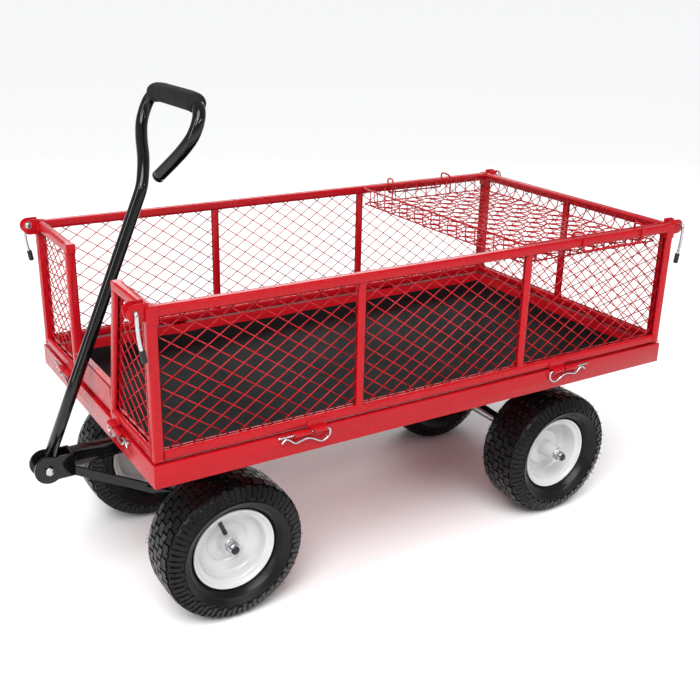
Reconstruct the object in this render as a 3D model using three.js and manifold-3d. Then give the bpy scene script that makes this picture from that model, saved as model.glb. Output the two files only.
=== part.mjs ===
// Mesh-sided garden cart: a steel tray on two axles, four fold-down mesh panels, a lift-off wire basket
// and a steered front axle with a D-loop pull handle. Millimetres, +Z up. X runs along the cart with the
// handle at -X, Y runs across it. The origin is on the ground under the middle of the whole cart.
import * as THREE from "three";
import { mergeVertices } from "three/addons/utils/BufferGeometryUtils.js";
import Module from "manifold-3d";

const wasm = await Module();
wasm.setup();

// ---------------------------------------------------------------- driving dimensions
const GAP = 0.3; // between pieces that touch
const SHEET = 2.5; // pressed steel

const BED_LENGTH = 1320;
const BED_WIDTH = 710;
const RAIL_BOTTOM = 385;
const RAIL_TOP = 432;
const RAIL_THICK = 25; // width of the hollow rim round the tray
const DECK_LEDGE = 18; // flange that carries the deck sheet
const DECK_THICK = 2;
const LINER_THICK = 5;

const TUBE = 20; // slotted panel tube, square
const SLOT = 5;
const SLOT_DEPTH = 10;
const MESH_THICK = 1.4;
const MESH_BEHIND = 1.1; // offset of the mesh sheet behind the tube's middle
const PANEL_SETBACK = 3;
const PANEL_BOTTOM = 436.5;
const PANEL_TOP = 734;
const POST_RADIUS = 9.5;
const SIDE_POSTS = [-215, 212];
const END_STRIP = 4;
const CORNER_GAP = 1;

const NOTCH_HALF = 108; // handle notch in the front panel
const NOTCH_LEAN = 63; // the right-hand notch post leans out this far at its top
const NOTCH_PLATE_TOP = 496;
const PLATE_RECESS = 4; // the notch plate's face stands back this far from the tubes

const PIN_OUT = 6.2; // clip pin axis outside the rail's face
const PIN_Z = 430;
const KNUCKLE_R = 5.5;
const KNUCKLE_BORE = 2.8;
const KNUCKLE_LENGTH = 35;
const KNUCKLE_GAP = 0.6;
const CLIP_WIRE = 2.1;
const CLIP_REACH = 109; // straight leg, from the loop to its free end
const SIDE_CLIP_X = 301; // loop side of the side panels' knuckles
const END_CLIP_Y = 130; // loop side of the end panels' knuckles
const PANEL_STRAP_TOP = 451; // top of a panel knuckle's strap
const BED_STRAP_BOTTOM = 408; // foot of a tray knuckle's strap
const STRAP_OVERHANG = 4; // how far a panel's strap passes its knuckle at each end

const COLLAR = 34; // cap on the side panels' corner posts
const EAR_REACH = 33;
const EAR_THICK = 3;
const EAR_NOSE = 17; // radius of an ear's rounded end
const EAR_Z = 725;
const LATCH_OUT = 20; // latch axis beyond the panel's end
const LATCH_Z = 730;
const LATCH_ROD = 3.6;
const LATCH_HOLE = 4.1;
const INNER_EAR_Y = 322;

const WHEEL_R = 157;
const WHEEL_FACETS = 24;
const TRACK = 480;
const FRONT_AXLE_X = -470.5;
const REAR_AXLE_X = 414.5;
const HUB_SHORT = 27;
const HUB_LONG = 52;
const HUB_R = 19;
const HUB_BORE = 16;
const AXLE_R = 9.5;
const LEG_Y = 150;
const LEG_THICK = 5;
const WASHER = 3;
const NUT = 13.5;

const STEER_PLATE_TOP = 340;
const YOKE_TOP = 332;
const KINGPIN_R = 8;
const CLEVIS_X = -766; // handle pivot
const CLEVIS_Z = 297;
const CLEVIS_HALF = 20;
const CLEVIS_PLATE = 5;
const CLEVIS_NOSE = 30;
const CLEVIS_BACK = 54; // from the pivot to the clevis's rear web
const TONGUE = 25;
const CLEVIS_UP = 27; // clevis plates above and below the pivot
const CLEVIS_DOWN = 24;
const BRACE_HEIGHT = 20;
const BRACE_THICK = 6;
const BRACE_FOOT_Z = 213; // underside of the foot on the yoke's leg
const BRACE_FOOT_LENGTH = 26;

const HANDLE_R = 12.7;
const HANDLE_LEAN = THREE.MathUtils.degToRad(23.1);
const HANDLE_BOLT = 5;
const EYE_HALF = 16; // half the length of the tube's cross eye
const GRIP_R = 20;
const GRIP_ALONG = 806; // from the pivot to the grip's middle, along the tube

const BASKET_FRONT = 212;
const BASKET_REAR = 632;
const BASKET_HALF = 326;
const BASKET_TOP = 733;
const BASKET_BOTTOM = 688;
const BASKET_WALL = 3;
const HOOK_X = [333, 517];
const HOOK_WIDTH = 24;
const HOOK_LIFT = 1.9; // clear height over the panel's top tube

const REAR_REACH = BED_LENGTH / 2 - PANEL_SETBACK + EAR_REACH;
const FRONT_REACH = -CLEVIS_X + CLEVIS_NOSE;

// ---------------------------------------------------------------- materials
const paint = (color, roughness, metalness) =>
  new THREE.MeshStandardMaterial({ color, roughness, metalness });
const red = paint(0xc8202c, 0.35, 0.2);
const black = paint(0x151515, 0.35, 0.3);
const zinc = paint(0xb8bcc0, 0.3, 0.9);
const white = paint(0xeeeeec, 0.3, 0.1);
const rubber = paint(0x1a1a1c, 0.8, 0);
const foam = paint(0x222224, 0.95, 0);
const linerBlack = paint(0x2c2c2e, 0.7, 0);

// ---------------------------------------------------------------- solids
function solid(geometry) {
  const loose = geometry.index ? geometry.toNonIndexed() : geometry.clone();
  loose.deleteAttribute("normal");
  loose.deleteAttribute("uv");
  const merged = mergeVertices(loose, 1e-3);
  const triVerts = new Uint32Array(merged.index.array);
  const build = () =>
    new wasm.Manifold(
      new wasm.Mesh({ numProp: 3, vertProperties: merged.attributes.position.array, triVerts }),
    );
  const made = build();
  if (made.volume() >= 0) return made;
  for (let i = 0; i < triVerts.length; i += 3)
    [triVerts[i + 1], triVerts[i + 2]] = [triVerts[i + 2], triVerts[i + 1]];
  return build();
}

const join = (...parts) => parts.reduce((sum, part) => sum.add(part));
const cut = (body, ...tools) => tools.reduce((rest, tool) => rest.subtract(tool), body);

function box(x0, x1, y0, y1, z0, z1) {
  const g = new THREE.BoxGeometry(x1 - x0, y1 - y0, z1 - z0);
  return solid(g.translate((x0 + x1) / 2, (y0 + y1) / 2, (z0 + z1) / 2));
}

// A cylinder along X, Y or Z from one end to the other, at the two other coordinates.
function rod(axis, from, to, a, b, radius, sides = 16) {
  const g = new THREE.CylinderGeometry(radius, radius, to - from, sides);
  const middle = (from + to) / 2;
  if (axis === "x") return solid(g.rotateZ(Math.PI / 2).translate(middle, a, b));
  if (axis === "y") return solid(g.translate(a, middle, b));
  return solid(g.rotateX(Math.PI / 2).translate(a, b, middle));
}

const ring = (axis, from, to, a, b, outer, inner, sides = 12) =>
  cut(rod(axis, from, to, a, b, outer, sides), rod(axis, from - 1, to + 1, a, b, inner, sides));

const hexagon = (from, to, x, z, radius) => rod("y", from, to, x, z, radius, 6);

// A flat outline of [across, up] points, thickened along X from x0 to x1.
function slab(outline, x0, x1) {
  const shape = new THREE.Shape(outline.map(([y, z]) => new THREE.Vector2(y, z)));
  const g = new THREE.ExtrudeGeometry(shape, { depth: x1 - x0, bevelEnabled: false });
  return solid(g.rotateX(Math.PI / 2).rotateZ(Math.PI / 2).translate(x0, 0, 0));
}

// A round bar along a curve.
function bar(curve, radius, steps, sides = 8) {
  const section = new THREE.Shape();
  for (let i = 0; i < sides; i++) {
    const a = (2 * Math.PI * (i + 0.5)) / sides;
    const corner = [radius * Math.cos(a), radius * Math.sin(a)];
    if (i) section.lineTo(...corner);
    else section.moveTo(...corner);
  }
  return solid(
    new THREE.ExtrudeGeometry(section, { extrudePath: curve, steps, bevelEnabled: false }),
  );
}

function smooth(points, tension = 0.4) {
  const path = points.map((p) => new THREE.Vector3(...p));
  return new THREE.CatmullRomCurve3(path, false, "catmullrom", tension);
}

// A ring turned about Y from [radius, along] points, with a flat facet at the bottom.
function turned(profile, facets = WHEEL_FACETS) {
  const grow = 1 / Math.cos(Math.PI / facets);
  const points = profile.map(([r, y]) => new THREE.Vector2(r * grow, y));
  points.push(points[0].clone());
  return solid(new THREE.LatheGeometry(points, facets, Math.PI / facets));
}

function geometryOf(body) {
  const m = body.getMesh();
  const g = new THREE.BufferGeometry();
  g.setAttribute("position", new THREE.BufferAttribute(new Float32Array(m.vertProperties), 3));
  g.setIndex(new THREE.BufferAttribute(new Uint32Array(m.triVerts), 1));
  const flat = g.toNonIndexed();
  flat.computeVertexNormals();
  return flat;
}

function piece(name, body, material, parent, place = [0, 0, 0]) {
  const mesh = new THREE.Mesh(geometryOf(body), material);
  mesh.name = name;
  mesh.position.set(...place);
  parent.add(mesh);
  return mesh;
}

const mirrorX = (body) => body.mirror([1, 0, 0]);
const mirrorY = (body) => body.mirror([0, 1, 0]);
const quarterTurn = (body, degrees) => body.rotate([0, 0, degrees]);

const cart = new THREE.Group();
cart.position.x = (FRONT_REACH - REAR_REACH) / 2;

// ---------------------------------------------------------------- hinges with clip pins
// Every hinge is made for a panel that faces -Y, with its loop side at x = 0 and its free end towards -X,
// standing at the rail's outer face y = 0.
const PANEL_KNUCKLE = [-KNUCKLE_LENGTH, 0];
const BED_KNUCKLE = [-2 * KNUCKLE_LENGTH - KNUCKLE_GAP - 3, -KNUCKLE_LENGTH - KNUCKLE_GAP];

function panelKnuckle() {
  const [from, to] = PANEL_KNUCKLE;
  const roll = ring("x", from, to, -PIN_OUT, PIN_Z, KNUCKLE_R, KNUCKLE_BORE);
  const [front, back, foot] = [PANEL_SETBACK - SHEET, PANEL_SETBACK + 0.5, RAIL_TOP + 1.2];
  const over = box(from, to, -PIN_OUT - 0.8, back, foot, PIN_Z + 6.5);
  const face = box(from - STRAP_OVERHANG, to + STRAP_OVERHANG, front, back, foot, PANEL_STRAP_TOP);
  const bore = rod("x", from - 1, to + 1, -PIN_OUT, PIN_Z, KNUCKLE_BORE, 12);
  return cut(join(roll, over, face), bore);
}

function bedKnuckle() {
  const [from, to] = BED_KNUCKLE;
  const roll = ring("x", from, to, -PIN_OUT, PIN_Z, KNUCKLE_R, KNUCKLE_BORE);
  const face = box(from, to, -2.2, 0.5, BED_STRAP_BOTTOM, RAIL_TOP - 1);
  const bore = rod("x", from - 1, to + 1, -PIN_OUT, PIN_Z, KNUCKLE_BORE, 12);
  return cut(join(roll, face), bore);
}

// Hitch-pin clip: a straight leg through both knuckles, a loop, and a wavy leg that springs back to it.
function clip() {
  const y = -PIN_OUT;
  const wave = [
    [-CLIP_REACH, y, 0],
    [-CLIP_REACH / 2, y, 0],
    [0.5, y, 0],
    [6.5, y, -3.5],
    [8.5, y, -11],
    [4, y, -21],
    [-8, y, -26],
    [-20, y, -22],
    [-38, y, -13.5],
    [-54, y, -14.5],
    [-68, y, -17],
    [-79, y, -11],
    [-90, y, -5],
    [-101, y, -12],
  ];
  return bar(smooth(wave, 0.35), CLIP_WIRE, 26, 6).translate([0, 0, PIN_Z]);
}

// Puts a hinge piece on a side (+1 left, -1 right) at the front or rear half (-1 front, +1 rear).
function onSide(body, side, end) {
  let placed = body.translate([-SIDE_CLIP_X, -BED_WIDTH / 2, 0]);
  if (end > 0) placed = mirrorX(placed);
  return side > 0 ? mirrorY(placed) : placed;
}

// Puts a hinge piece on the front (-1) or rear (+1) rail, on the right (-1) or left (+1) half.
function onEnd(body, end, side) {
  let placed = quarterTurn(body.translate([-END_CLIP_Y, -BED_LENGTH / 2, 0]), -90);
  if (side < 0) placed = mirrorY(placed);
  return end > 0 ? mirrorX(placed) : placed;
}

// ---------------------------------------------------------------- tray
function bedFrame() {
  const [l, w] = [BED_LENGTH / 2, BED_WIDTH / 2];
  const ringCut = (inset, z0, z1) => box(-l + inset, l - inset, -w + inset, w - inset, z0, z1);
  const hollow = cut(
    ringCut(SHEET, RAIL_BOTTOM - 1, RAIL_TOP - SHEET),
    ringCut(RAIL_THICK - SHEET, RAIL_BOTTOM - 2, RAIL_TOP),
  );
  const tray = cut(
    box(-l, l, -w, w, RAIL_BOTTOM, RAIL_TOP),
    ringCut(RAIL_THICK, RAIL_BOTTOM + SHEET, RAIL_TOP + 1),
    ringCut(RAIL_THICK + DECK_LEDGE, RAIL_BOTTOM - 1, RAIL_TOP),
    hollow,
  );
  const knuckles = [];
  for (const a of [-1, 1])
    for (const b of [-1, 1])
      knuckles.push(onSide(bedKnuckle(), a, b), onEnd(bedKnuckle(), a, b));
  return join(tray, ...knuckles);
}

function layer(inset, z0, thick) {
  const [l, w] = [BED_LENGTH / 2 - inset, BED_WIDTH / 2 - inset];
  return box(-l, l, -w, w, z0, z0 + thick);
}

const deckBottom = RAIL_BOTTOM + SHEET + GAP;
const linerBottom = deckBottom + DECK_THICK + GAP;
const bed = new THREE.Group();
cart.add(bed);
piece("bed_frame", bedFrame(), red, bed);
piece("deck_sheet", layer(RAIL_THICK + 1, deckBottom, DECK_THICK), red, bed);
piece("bed_liner", layer(RAIL_THICK + 1.5, linerBottom, LINER_THICK), linerBlack, bed);

// ---------------------------------------------------------------- front bolster and rear axle carrier
const BOLSTER_HALF = 30;
const BOLSTER_REACH = 250; // the bolster carries the deck between the rails
const CROSS_REACH = BED_WIDTH / 2 - RAIL_THICK; // the rear cross plate runs out to the rails
const TURNTABLE_R = 75;
const carrierTop = RAIL_BOTTOM - GAP;

function frontBolster() {
  const reach = BOLSTER_REACH;
  const top = deckBottom - GAP;
  const channel = cut(
    box(-BOLSTER_HALF, BOLSTER_HALF, -reach, reach, STEER_PLATE_TOP + 5, top),
    box(-BOLSTER_HALF + 3, BOLSTER_HALF - 3, -reach - 1, reach + 1, STEER_PLATE_TOP + 8, top + 1),
  );
  const plate = rod("z", STEER_PLATE_TOP, STEER_PLATE_TOP + 6, 0, 0, TURNTABLE_R, 32);
  return cut(join(channel, plate), rod("z", STEER_PLATE_TOP - 1, top, 0, 0, KINGPIN_R + 0.5));
}

// Two legs under a cross plate, bored for the axle.
const LEG_FOOT_HALF = 22;

function axleCarrier(top, plateHalf, legHalf) {
  const plate = box(-plateHalf, plateHalf, -LEG_Y - LEG_THICK, LEG_Y + LEG_THICK, top - 6, top);
  const legs = [-1, 1].map((side) => {
    const outline = [
      [-plateHalf, top - 1],
      [plateHalf, top - 1],
      [plateHalf, top - 40],
      [legHalf, WHEEL_R - 22],
      [-legHalf, WHEEL_R - 22],
      [-plateHalf, top - 40],
    ];
    const leg = slab(outline, LEG_Y, LEG_Y + LEG_THICK).rotate([0, 0, -90]);
    return side < 0 ? leg : mirrorY(leg);
  });
  const hole = rod("y", -LEG_Y - 20, LEG_Y + 20, 0, WHEEL_R, AXLE_R + 0.5);
  return cut(join(plate, ...legs), hole);
}

// A flat bar between two points, as tall as asked.
function flatBar(from, to, height, thick) {
  const a = new THREE.Vector3(...from);
  const b = new THREE.Vector3(...to);
  const line = new THREE.Vector3().subVectors(b, a);
  const g = new THREE.BoxGeometry(line.length(), thick, height);
  const across = new THREE.Vector3(0, 0, 1).cross(line).normalize();
  const up = new THREE.Vector3().crossVectors(line, across).normalize();
  const frame = new THREE.Matrix4().makeBasis(line.clone().normalize(), across, up);
  frame.setPosition(a.add(b).multiplyScalar(0.5));
  return solid(g.applyMatrix4(frame));
}

const REAR_PLATE_HALF = 45;
const REAR_BRACE_X = -295; // middle of a rear brace's foot, ahead of the axle
const REAR_BRACE_FOOT = 50;

function rearCarrier() {
  const braces = [-1, 1].map((side) => {
    const y = side * (LEG_Y - 4);
    const [x0, x1] = [REAR_BRACE_X - REAR_BRACE_FOOT / 2, REAR_BRACE_X + REAR_BRACE_FOOT / 2];
    const foot = box(x0, x1, y - 12, y + 12, carrierTop - 4, deckBottom - GAP);
    return join(flatBar([REAR_BRACE_X, y, carrierTop - 3], [-12, y, WHEEL_R + 16], 14, 8), foot);
  });
  const cross = box(-REAR_PLATE_HALF, REAR_PLATE_HALF, -CROSS_REACH, CROSS_REACH,
    carrierTop - 6, carrierTop);
  const hole = rod("y", -LEG_Y - 20, LEG_Y + 20, 0, WHEEL_R, AXLE_R + 0.5);
  return cut(join(axleCarrier(carrierTop, REAR_PLATE_HALF, LEG_FOOT_HALF), cross, ...braces), hole);
}

piece("front_bolster", frontBolster(), black, bed, [FRONT_AXLE_X, 0, 0]);
piece("rear_axle_carrier", rearCarrier(), black, bed, [REAR_AXLE_X, 0, 0]);

function kingpin() {
  const shank = rod("z", YOKE_TOP - 22, STEER_PLATE_TOP + 14, 0, 0, KINGPIN_R);
  const head = rod("z", STEER_PLATE_TOP + 8 + GAP, STEER_PLATE_TOP + 18, 0, 0, 14, 6);
  const nut = rod("z", YOKE_TOP - 20, YOKE_TOP - 6 - GAP, 0, 0, 14, 6);
  return join(shank, head, nut);
}
piece("kingpin_bolt", kingpin(), zinc, bed, [FRONT_AXLE_X, 0, 0]);

// ---------------------------------------------------------------- axles, wheels, nuts
// An axle with shoulders between its carrier's legs and the wheel hubs.
function axle(hubInner, end) {
  const legIn = LEG_Y - GAP;
  const legOut = LEG_Y + LEG_THICK + GAP;
  const half = [
    [AXLE_R, end],
    [AXLE_R, hubInner - GAP],
    [14, hubInner - GAP],
    [14, legOut],
    [AXLE_R, legOut],
    [AXLE_R, legIn],
    [12, legIn],
  ];
  const profile = [[0, end], ...half, ...half.map(([r, y]) => [r, -y]).reverse(), [0, -end]];
  const points = profile.map(([r, y]) => new THREE.Vector2(r, y));
  return solid(new THREE.LatheGeometry(points, 16));
}

function axleNut(hubEnd) {
  const washer = rod("y", hubEnd + GAP, hubEnd + GAP + WASHER, 0, 0, HUB_R, 16);
  const nut = hexagon(hubEnd + WASHER, hubEnd + GAP + WASHER + NUT, 0, 0, 15);
  return cut(join(washer, nut), rod("y", hubEnd - 1, hubEnd + 40, 0, 0, AXLE_R + 0.4));
}

const TYRE_SIDE = [
  [78, 29],
  [78, 33.8],
  [93, 37],
  [100, 51],
  [122, 66],
  [139, 66.5],
  [153, 56],
  [WHEEL_R, 36],
];
const TYRE_INSIDE = [
  [149, 36],
  [133, 58],
  [96, 33],
];
const mirrored = (points) => points.map(([r, y]) => [r, -y]).reverse();

function tyre() {
  const outside = [...TYRE_SIDE, ...mirrored(TYRE_SIDE)];
  const inside = [...TYRE_INSIDE, ...mirrored(TYRE_INSIDE)].reverse();
  return turned([...outside, ...inside]);
}

// Dished wheel with its hub off centre: the short side of the hub faces +Y.
function rim() {
  const lip = [
    [91, 41.5],
    [91, 37],
    [77, 34.2],
  ];
  const barrel = [
    [74, 36.5],
    [74, 5],
    [50, 5],
    [44, 1],
    [HUB_R, 1],
    [HUB_R, HUB_SHORT],
    [HUB_BORE, HUB_SHORT],
    [HUB_BORE, -HUB_LONG],
    [HUB_R, -HUB_LONG],
    [HUB_R, -2],
    [74, 2],
    [74, -36.5],
  ];
  const outer = [...lip, ...lip.map(([r, y]) => [r, -y]).reverse()];
  const sides = 20;
  const points = [...outer, ...barrel.slice().reverse()].map(([r, y]) => new THREE.Vector2(r, y));
  points.push(points[0].clone());
  return solid(new THREE.LatheGeometry(points, sides));
}

function valve() {
  const angle = THREE.MathUtils.degToRad(110);
  const along = (r, y) => [r * Math.cos(angle), y, r * Math.sin(angle)];
  const stem = new THREE.LineCurve3(
    new THREE.Vector3(...along(71.5, 15)),
    new THREE.Vector3(...along(38, 22)),
  );
  return bar(stem, 4.5, 1, 10);
}

const bearing = () => ring("y", -HUB_LONG + 1, HUB_SHORT - 1, 0, 0, HUB_BORE - 0.4, AXLE_R + 0.5, 16);

const steering = new THREE.Group();
cart.add(steering);
for (const [end, x, holder] of [["front", FRONT_AXLE_X, steering], ["rear", REAR_AXLE_X, bed]]) {
  // Front hubs show their short side, rear hubs their long side.
  const [outer, inner] = end === "front" ? [HUB_SHORT, HUB_LONG] : [HUB_LONG, HUB_SHORT];
  const axleEnd = TRACK / 2 + outer + 19.5;
  piece(end + "_axle", axle(TRACK / 2 - inner, axleEnd), zinc, holder, [x, 0, WHEEL_R]);
  for (const [name, side] of [["left", 1], ["right", -1]]) {
    const nut = axleNut(TRACK / 2 + outer);
    piece(`${end}_${name}_axle_nut`, side > 0 ? nut : mirrorY(nut), zinc, holder, [x, 0, WHEEL_R]);
    const wheel = new THREE.Group();
    wheel.position.set(x, (side * TRACK) / 2, WHEEL_R);
    cart.add(wheel);
    const turn = side > 0 === (end === "front") ? (b) => b : mirrorY;
    piece(`${end}_${name}_tyre`, tyre(), rubber, wheel);
    piece(`${end}_${name}_rim`, turn(rim()), white, wheel);
    piece(`${end}_${name}_valve`, turn(valve()), rubber, wheel);
    piece(`${end}_${name}_bearing`, turn(bearing()), zinc, wheel);
  }
}

// ---------------------------------------------------------------- steered front end
const YOKE_HALF = 40;

function frontYoke() {
  const carrier = axleCarrier(YOKE_TOP, YOKE_HALF, LEG_FOOT_HALF);
  const plate = rod("z", YOKE_TOP - 5, STEER_PLATE_TOP - 0.5, 0, 0, TURNTABLE_R, 32);
  const bore = rod("z", YOKE_TOP - 40, STEER_PLATE_TOP + 1, 0, 0, KINGPIN_R + 0.5);
  return cut(join(carrier, plate), bore);
}

function roundedPlate(y0, y1) {
  const nose = rod("y", y0, y1, CLEVIS_X, CLEVIS_Z, CLEVIS_NOSE, 24);
  const body = box(CLEVIS_X, CLEVIS_X + CLEVIS_BACK, y0, y1, CLEVIS_Z - CLEVIS_DOWN, CLEVIS_Z + CLEVIS_UP);
  return join(nose, body);
}

// Clevis, square tongue back to the yoke, and two flat braces down to the yoke's legs.
function drawbar() {
  const [outer, inner] = [CLEVIS_HALF + CLEVIS_PLATE / 2, CLEVIS_HALF - CLEVIS_PLATE / 2];
  const back = CLEVIS_X + CLEVIS_BACK;
  const yokeFront = FRONT_AXLE_X - YOKE_HALF - GAP;
  const web = box(back - CLEVIS_PLATE, back, -outer, outer, CLEVIS_Z - CLEVIS_DOWN, CLEVIS_Z + CLEVIS_UP);
  const tongueTop = YOKE_TOP - 6 - GAP;
  const tongue = box(back - 1, FRONT_AXLE_X - 16, -TONGUE / 2, TONGUE / 2, tongueTop - TONGUE, tongueTop);
  const braces = [-1, 1].map((side) => {
    const footY = side * (LEG_Y - GAP - BRACE_THICK / 2);
    const from = [back - 3, side * (CLEVIS_HALF - 3), CLEVIS_Z - 13];
    const to = [yokeFront + 2, footY, BRACE_FOOT_Z + 11];
    const run = flatBar(from, to, BRACE_HEIGHT, BRACE_THICK);
    const [low, high] = [footY - BRACE_THICK / 2, footY + BRACE_THICK / 2];
    const foot = box(yokeFront, yokeFront + BRACE_FOOT_LENGTH, low, high, BRACE_FOOT_Z,
      BRACE_FOOT_Z + BRACE_HEIGHT);
    return join(run, foot);
  });
  const bolt = rod("y", -60, 60, CLEVIS_X, CLEVIS_Z, HANDLE_BOLT + GAP);
  return cut(join(roundedPlate(-outer, -inner), roundedPlate(inner, outer), web, tongue, ...braces), bolt);
}

function handleBolt() {
  const face = CLEVIS_HALF + CLEVIS_PLATE / 2 + GAP;
  const shank = rod("y", -face - 4, face + 10, 0, 0, HANDLE_BOLT, 12);
  const head = hexagon(-face - 7, -face, 0, 0, 9.5);
  const nut = hexagon(face, face + 8, 0, 0, 9.5);
  return join(shank, head, nut);
}

piece("front_yoke", frontYoke(), black, steering, [FRONT_AXLE_X, 0, 0]);
piece("drawbar", drawbar(), black, steering);
piece("handle_bolt", handleBolt(), zinc, steering, [CLEVIS_X, 0, CLEVIS_Z]);

// ---------------------------------------------------------------- pull handle
// Drawn with the tube along +Z from the pivot and the loop across Y, then leant back.
const LOOP = [
  [0, 615],
  [14, 638],
  [42, 671],
  [84, 706],
  [111, 737],
  [116, 766],
  [108, 790],
  [86, 804],
  [64, 806],
  [-18, 806],
  [-100, 806],
  [-119, 803],
  [-139, 791],
  [-150, 770],
  [-148, 744],
  [-131, 718],
  [-106, 692],
  [-60, 650],
];

function handleTube() {
  const straight = rod("z", 10, 616, 0, 0, HANDLE_R, 16);
  const loop = bar(smooth(LOOP.map(([y, z]) => [0, y, z])), HANDLE_R, 30, 12);
  const eye = rod("y", -EYE_HALF, EYE_HALF, 0, 0, 15, 16);
  return cut(join(straight, loop, eye), rod("y", -30, 30, 0, 0, HANDLE_BOLT + GAP, 12));
}

function handleEndCap() {
  const [from, end] = LOOP.slice(-2).map(([y, z]) => new THREE.Vector3(0, y, z));
  const along = new THREE.Vector3().subVectors(end, from).normalize();
  const start = end.clone().addScaledVector(along, GAP + 0.2);
  return bar(new THREE.LineCurve3(start, end.clone().addScaledVector(along, 8)), HANDLE_R + 0.8, 1, 16);
}

const handle = new THREE.Group();
handle.position.set(CLEVIS_X, 0, CLEVIS_Z);
handle.rotation.y = HANDLE_LEAN;
cart.add(handle);
piece("handle_tube", handleTube(), black, handle);
piece("handle_grip", ring("y", -98, 62, 0, 0, GRIP_R, HANDLE_R + 1, 16), foam, handle, [0, 0, GRIP_ALONG]);
piece("handle_end_cap", handleEndCap(), black, handle);

// ---------------------------------------------------------------- side panels
// Made for the right-hand side, facing -Y; the left one is its mirror image.
const panelMiddle = -BED_WIDTH / 2 + PANEL_SETBACK + TUBE / 2;
const panelEnd = BED_LENGTH / 2 - PANEL_SETBACK;
const endHalf = -panelMiddle - TUBE / 2 - CORNER_GAP; // half the width of an end panel
const meshFace = (middle) => [middle + MESH_BEHIND - MESH_THICK / 2, middle + MESH_BEHIND + MESH_THICK / 2];

function sideFrame() {
  const [y0, y1] = [panelMiddle - TUBE / 2, panelMiddle + TUBE / 2];
  const window = box(-panelEnd + TUBE, panelEnd - TUBE, y0 - 1, y1 + 1,
    PANEL_BOTTOM + TUBE, PANEL_TOP - TUBE);
  const reach = TUBE - SLOT_DEPTH;
  const slot = box(-panelEnd + reach, panelEnd - reach, panelMiddle - SLOT / 2, panelMiddle + SLOT / 2,
    PANEL_BOTTOM + reach, PANEL_TOP - reach);
  const rails = cut(box(-panelEnd, panelEnd, y0, y1, PANEL_BOTTOM, PANEL_TOP), window);
  const posts = SIDE_POSTS.map((x) =>
    cut(
      rod("z", PANEL_BOTTOM + TUBE - 12, PANEL_TOP - TUBE + 12, x, panelMiddle, POST_RADIUS, 16),
      box(x - 20, x + 20, panelMiddle + 0.1, y1 + 1, 0, 1000),
    ),
  );
  const corners = [-1, 1].flatMap((end) => {
    const [a, b] = [panelEnd - TUBE - 1, panelEnd + 1].map((x) => end * x).sort((p, q) => p - q);
    return [box(a, b, y0 - 1, y1, PANEL_TOP - COLLAR, PANEL_TOP + 1), latchEar(end, y0 - 1)];
  });
  const knuckles = [-1, 1].map((end) => onSide(panelKnuckle(), -1, end));
  return join(cut(join(rails, ...corners), slot), ...posts, ...knuckles);
}

// A rounded ear that stands out past the panel's end, bored for the latch rod, with its face at y.
function latchEar(end, y) {
  const noseX = end * (panelEnd + EAR_REACH - EAR_NOSE);
  const root = [noseX, end * (panelEnd - 8)].sort((p, q) => p - q);
  const nose = rod("y", y, y + EAR_THICK, noseX, EAR_Z, EAR_NOSE, 20);
  const body = box(...root, y, y + EAR_THICK, EAR_Z - EAR_NOSE, EAR_Z + EAR_NOSE);
  const axis = end * (panelEnd + LATCH_OUT);
  return cut(join(nose, body), rod("y", y - 1, y + EAR_THICK + 1, axis, LATCH_Z, LATCH_HOLE, 12));
}

function sideMesh() {
  const reach = TUBE - SLOT_DEPTH + 0.5;
  return box(-panelEnd + reach, panelEnd - reach, ...meshFace(panelMiddle),
    PANEL_BOTTOM + reach, PANEL_TOP - reach);
}

// The lever's rod ends just short of the end panel, whose screw carries on from there, so that either
// panel folds out by itself.
function latchLever(end) {
  const x = end * (panelEnd + LATCH_OUT);
  const faceY = panelMiddle - TUBE / 2 - 1;
  const path = [
    [0, -endHalf - GAP - 0.5, 0],
    [0, faceY - 3, 0],
    [0, faceY - 6, -3],
    [0, faceY - 7, -10],
    [end * -1, faceY - 7, -36],
    [end * -6, faceY - 7, -74],
  ];
  const lever = bar(smooth(path, 0.25), LATCH_ROD, 14, 8);
  const grip = new THREE.LineCurve3(
    new THREE.Vector3(end * -5.5, faceY - 7, -70),
    new THREE.Vector3(end * -9, faceY - 7.4, -92),
  );
  return { x, lever, grip: bar(grip, 5.5, 1, 10) };
}

const sides = { right: -1, left: 1 };
for (const [name, side] of Object.entries(sides)) {
  const panel = new THREE.Group();
  cart.add(panel);
  const flip = side > 0 ? mirrorY : (b) => b;
  piece(`${name}_side_frame`, flip(sideFrame()), red, panel);
  piece(`${name}_side_mesh`, flip(sideMesh()), red, panel);
  for (const [where, end] of [["front", -1], ["rear", 1]]) {
    piece(`${name}_${where}_clip`, onSide(clip(), side, end), zinc, bed);
    const latch = latchLever(end);
    const whole = join(latch.lever, latch.grip);
    piece(`${name}_${where}_latch_lever`, flip(whole), zinc, panel, [latch.x, 0, LATCH_Z]);
  }
}

// ---------------------------------------------------------------- end panels
function innerEars(end) {
  const ear = latchEar(end, -INNER_EAR_Y - EAR_THICK);
  const x = end * (panelEnd - 4);
  const pad = box(...[x, x + end * 4].sort((p, q) => p - q), -endHalf, -INNER_EAR_Y,
    EAR_Z - EAR_NOSE, PANEL_TOP);
  const both = join(ear, pad);
  return [both, mirrorY(both)];
}

function latchScrew() {
  const points = [];
  for (let i = 0; i <= 3; i++) {
    const a = (Math.PI / 2) * (i / 3);
    points.push(new THREE.Vector2(6 * Math.cos(a), 3.2 * Math.sin(a)));
  }
  const dome = new THREE.LatheGeometry([new THREE.Vector2(0, 0), ...points], 12);
  const shank = rod("y", INNER_EAR_Y - endHalf, 0.4, 0, 0, LATCH_ROD - 0.4, 10);
  return join(solid(dome), shank);
}

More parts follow.
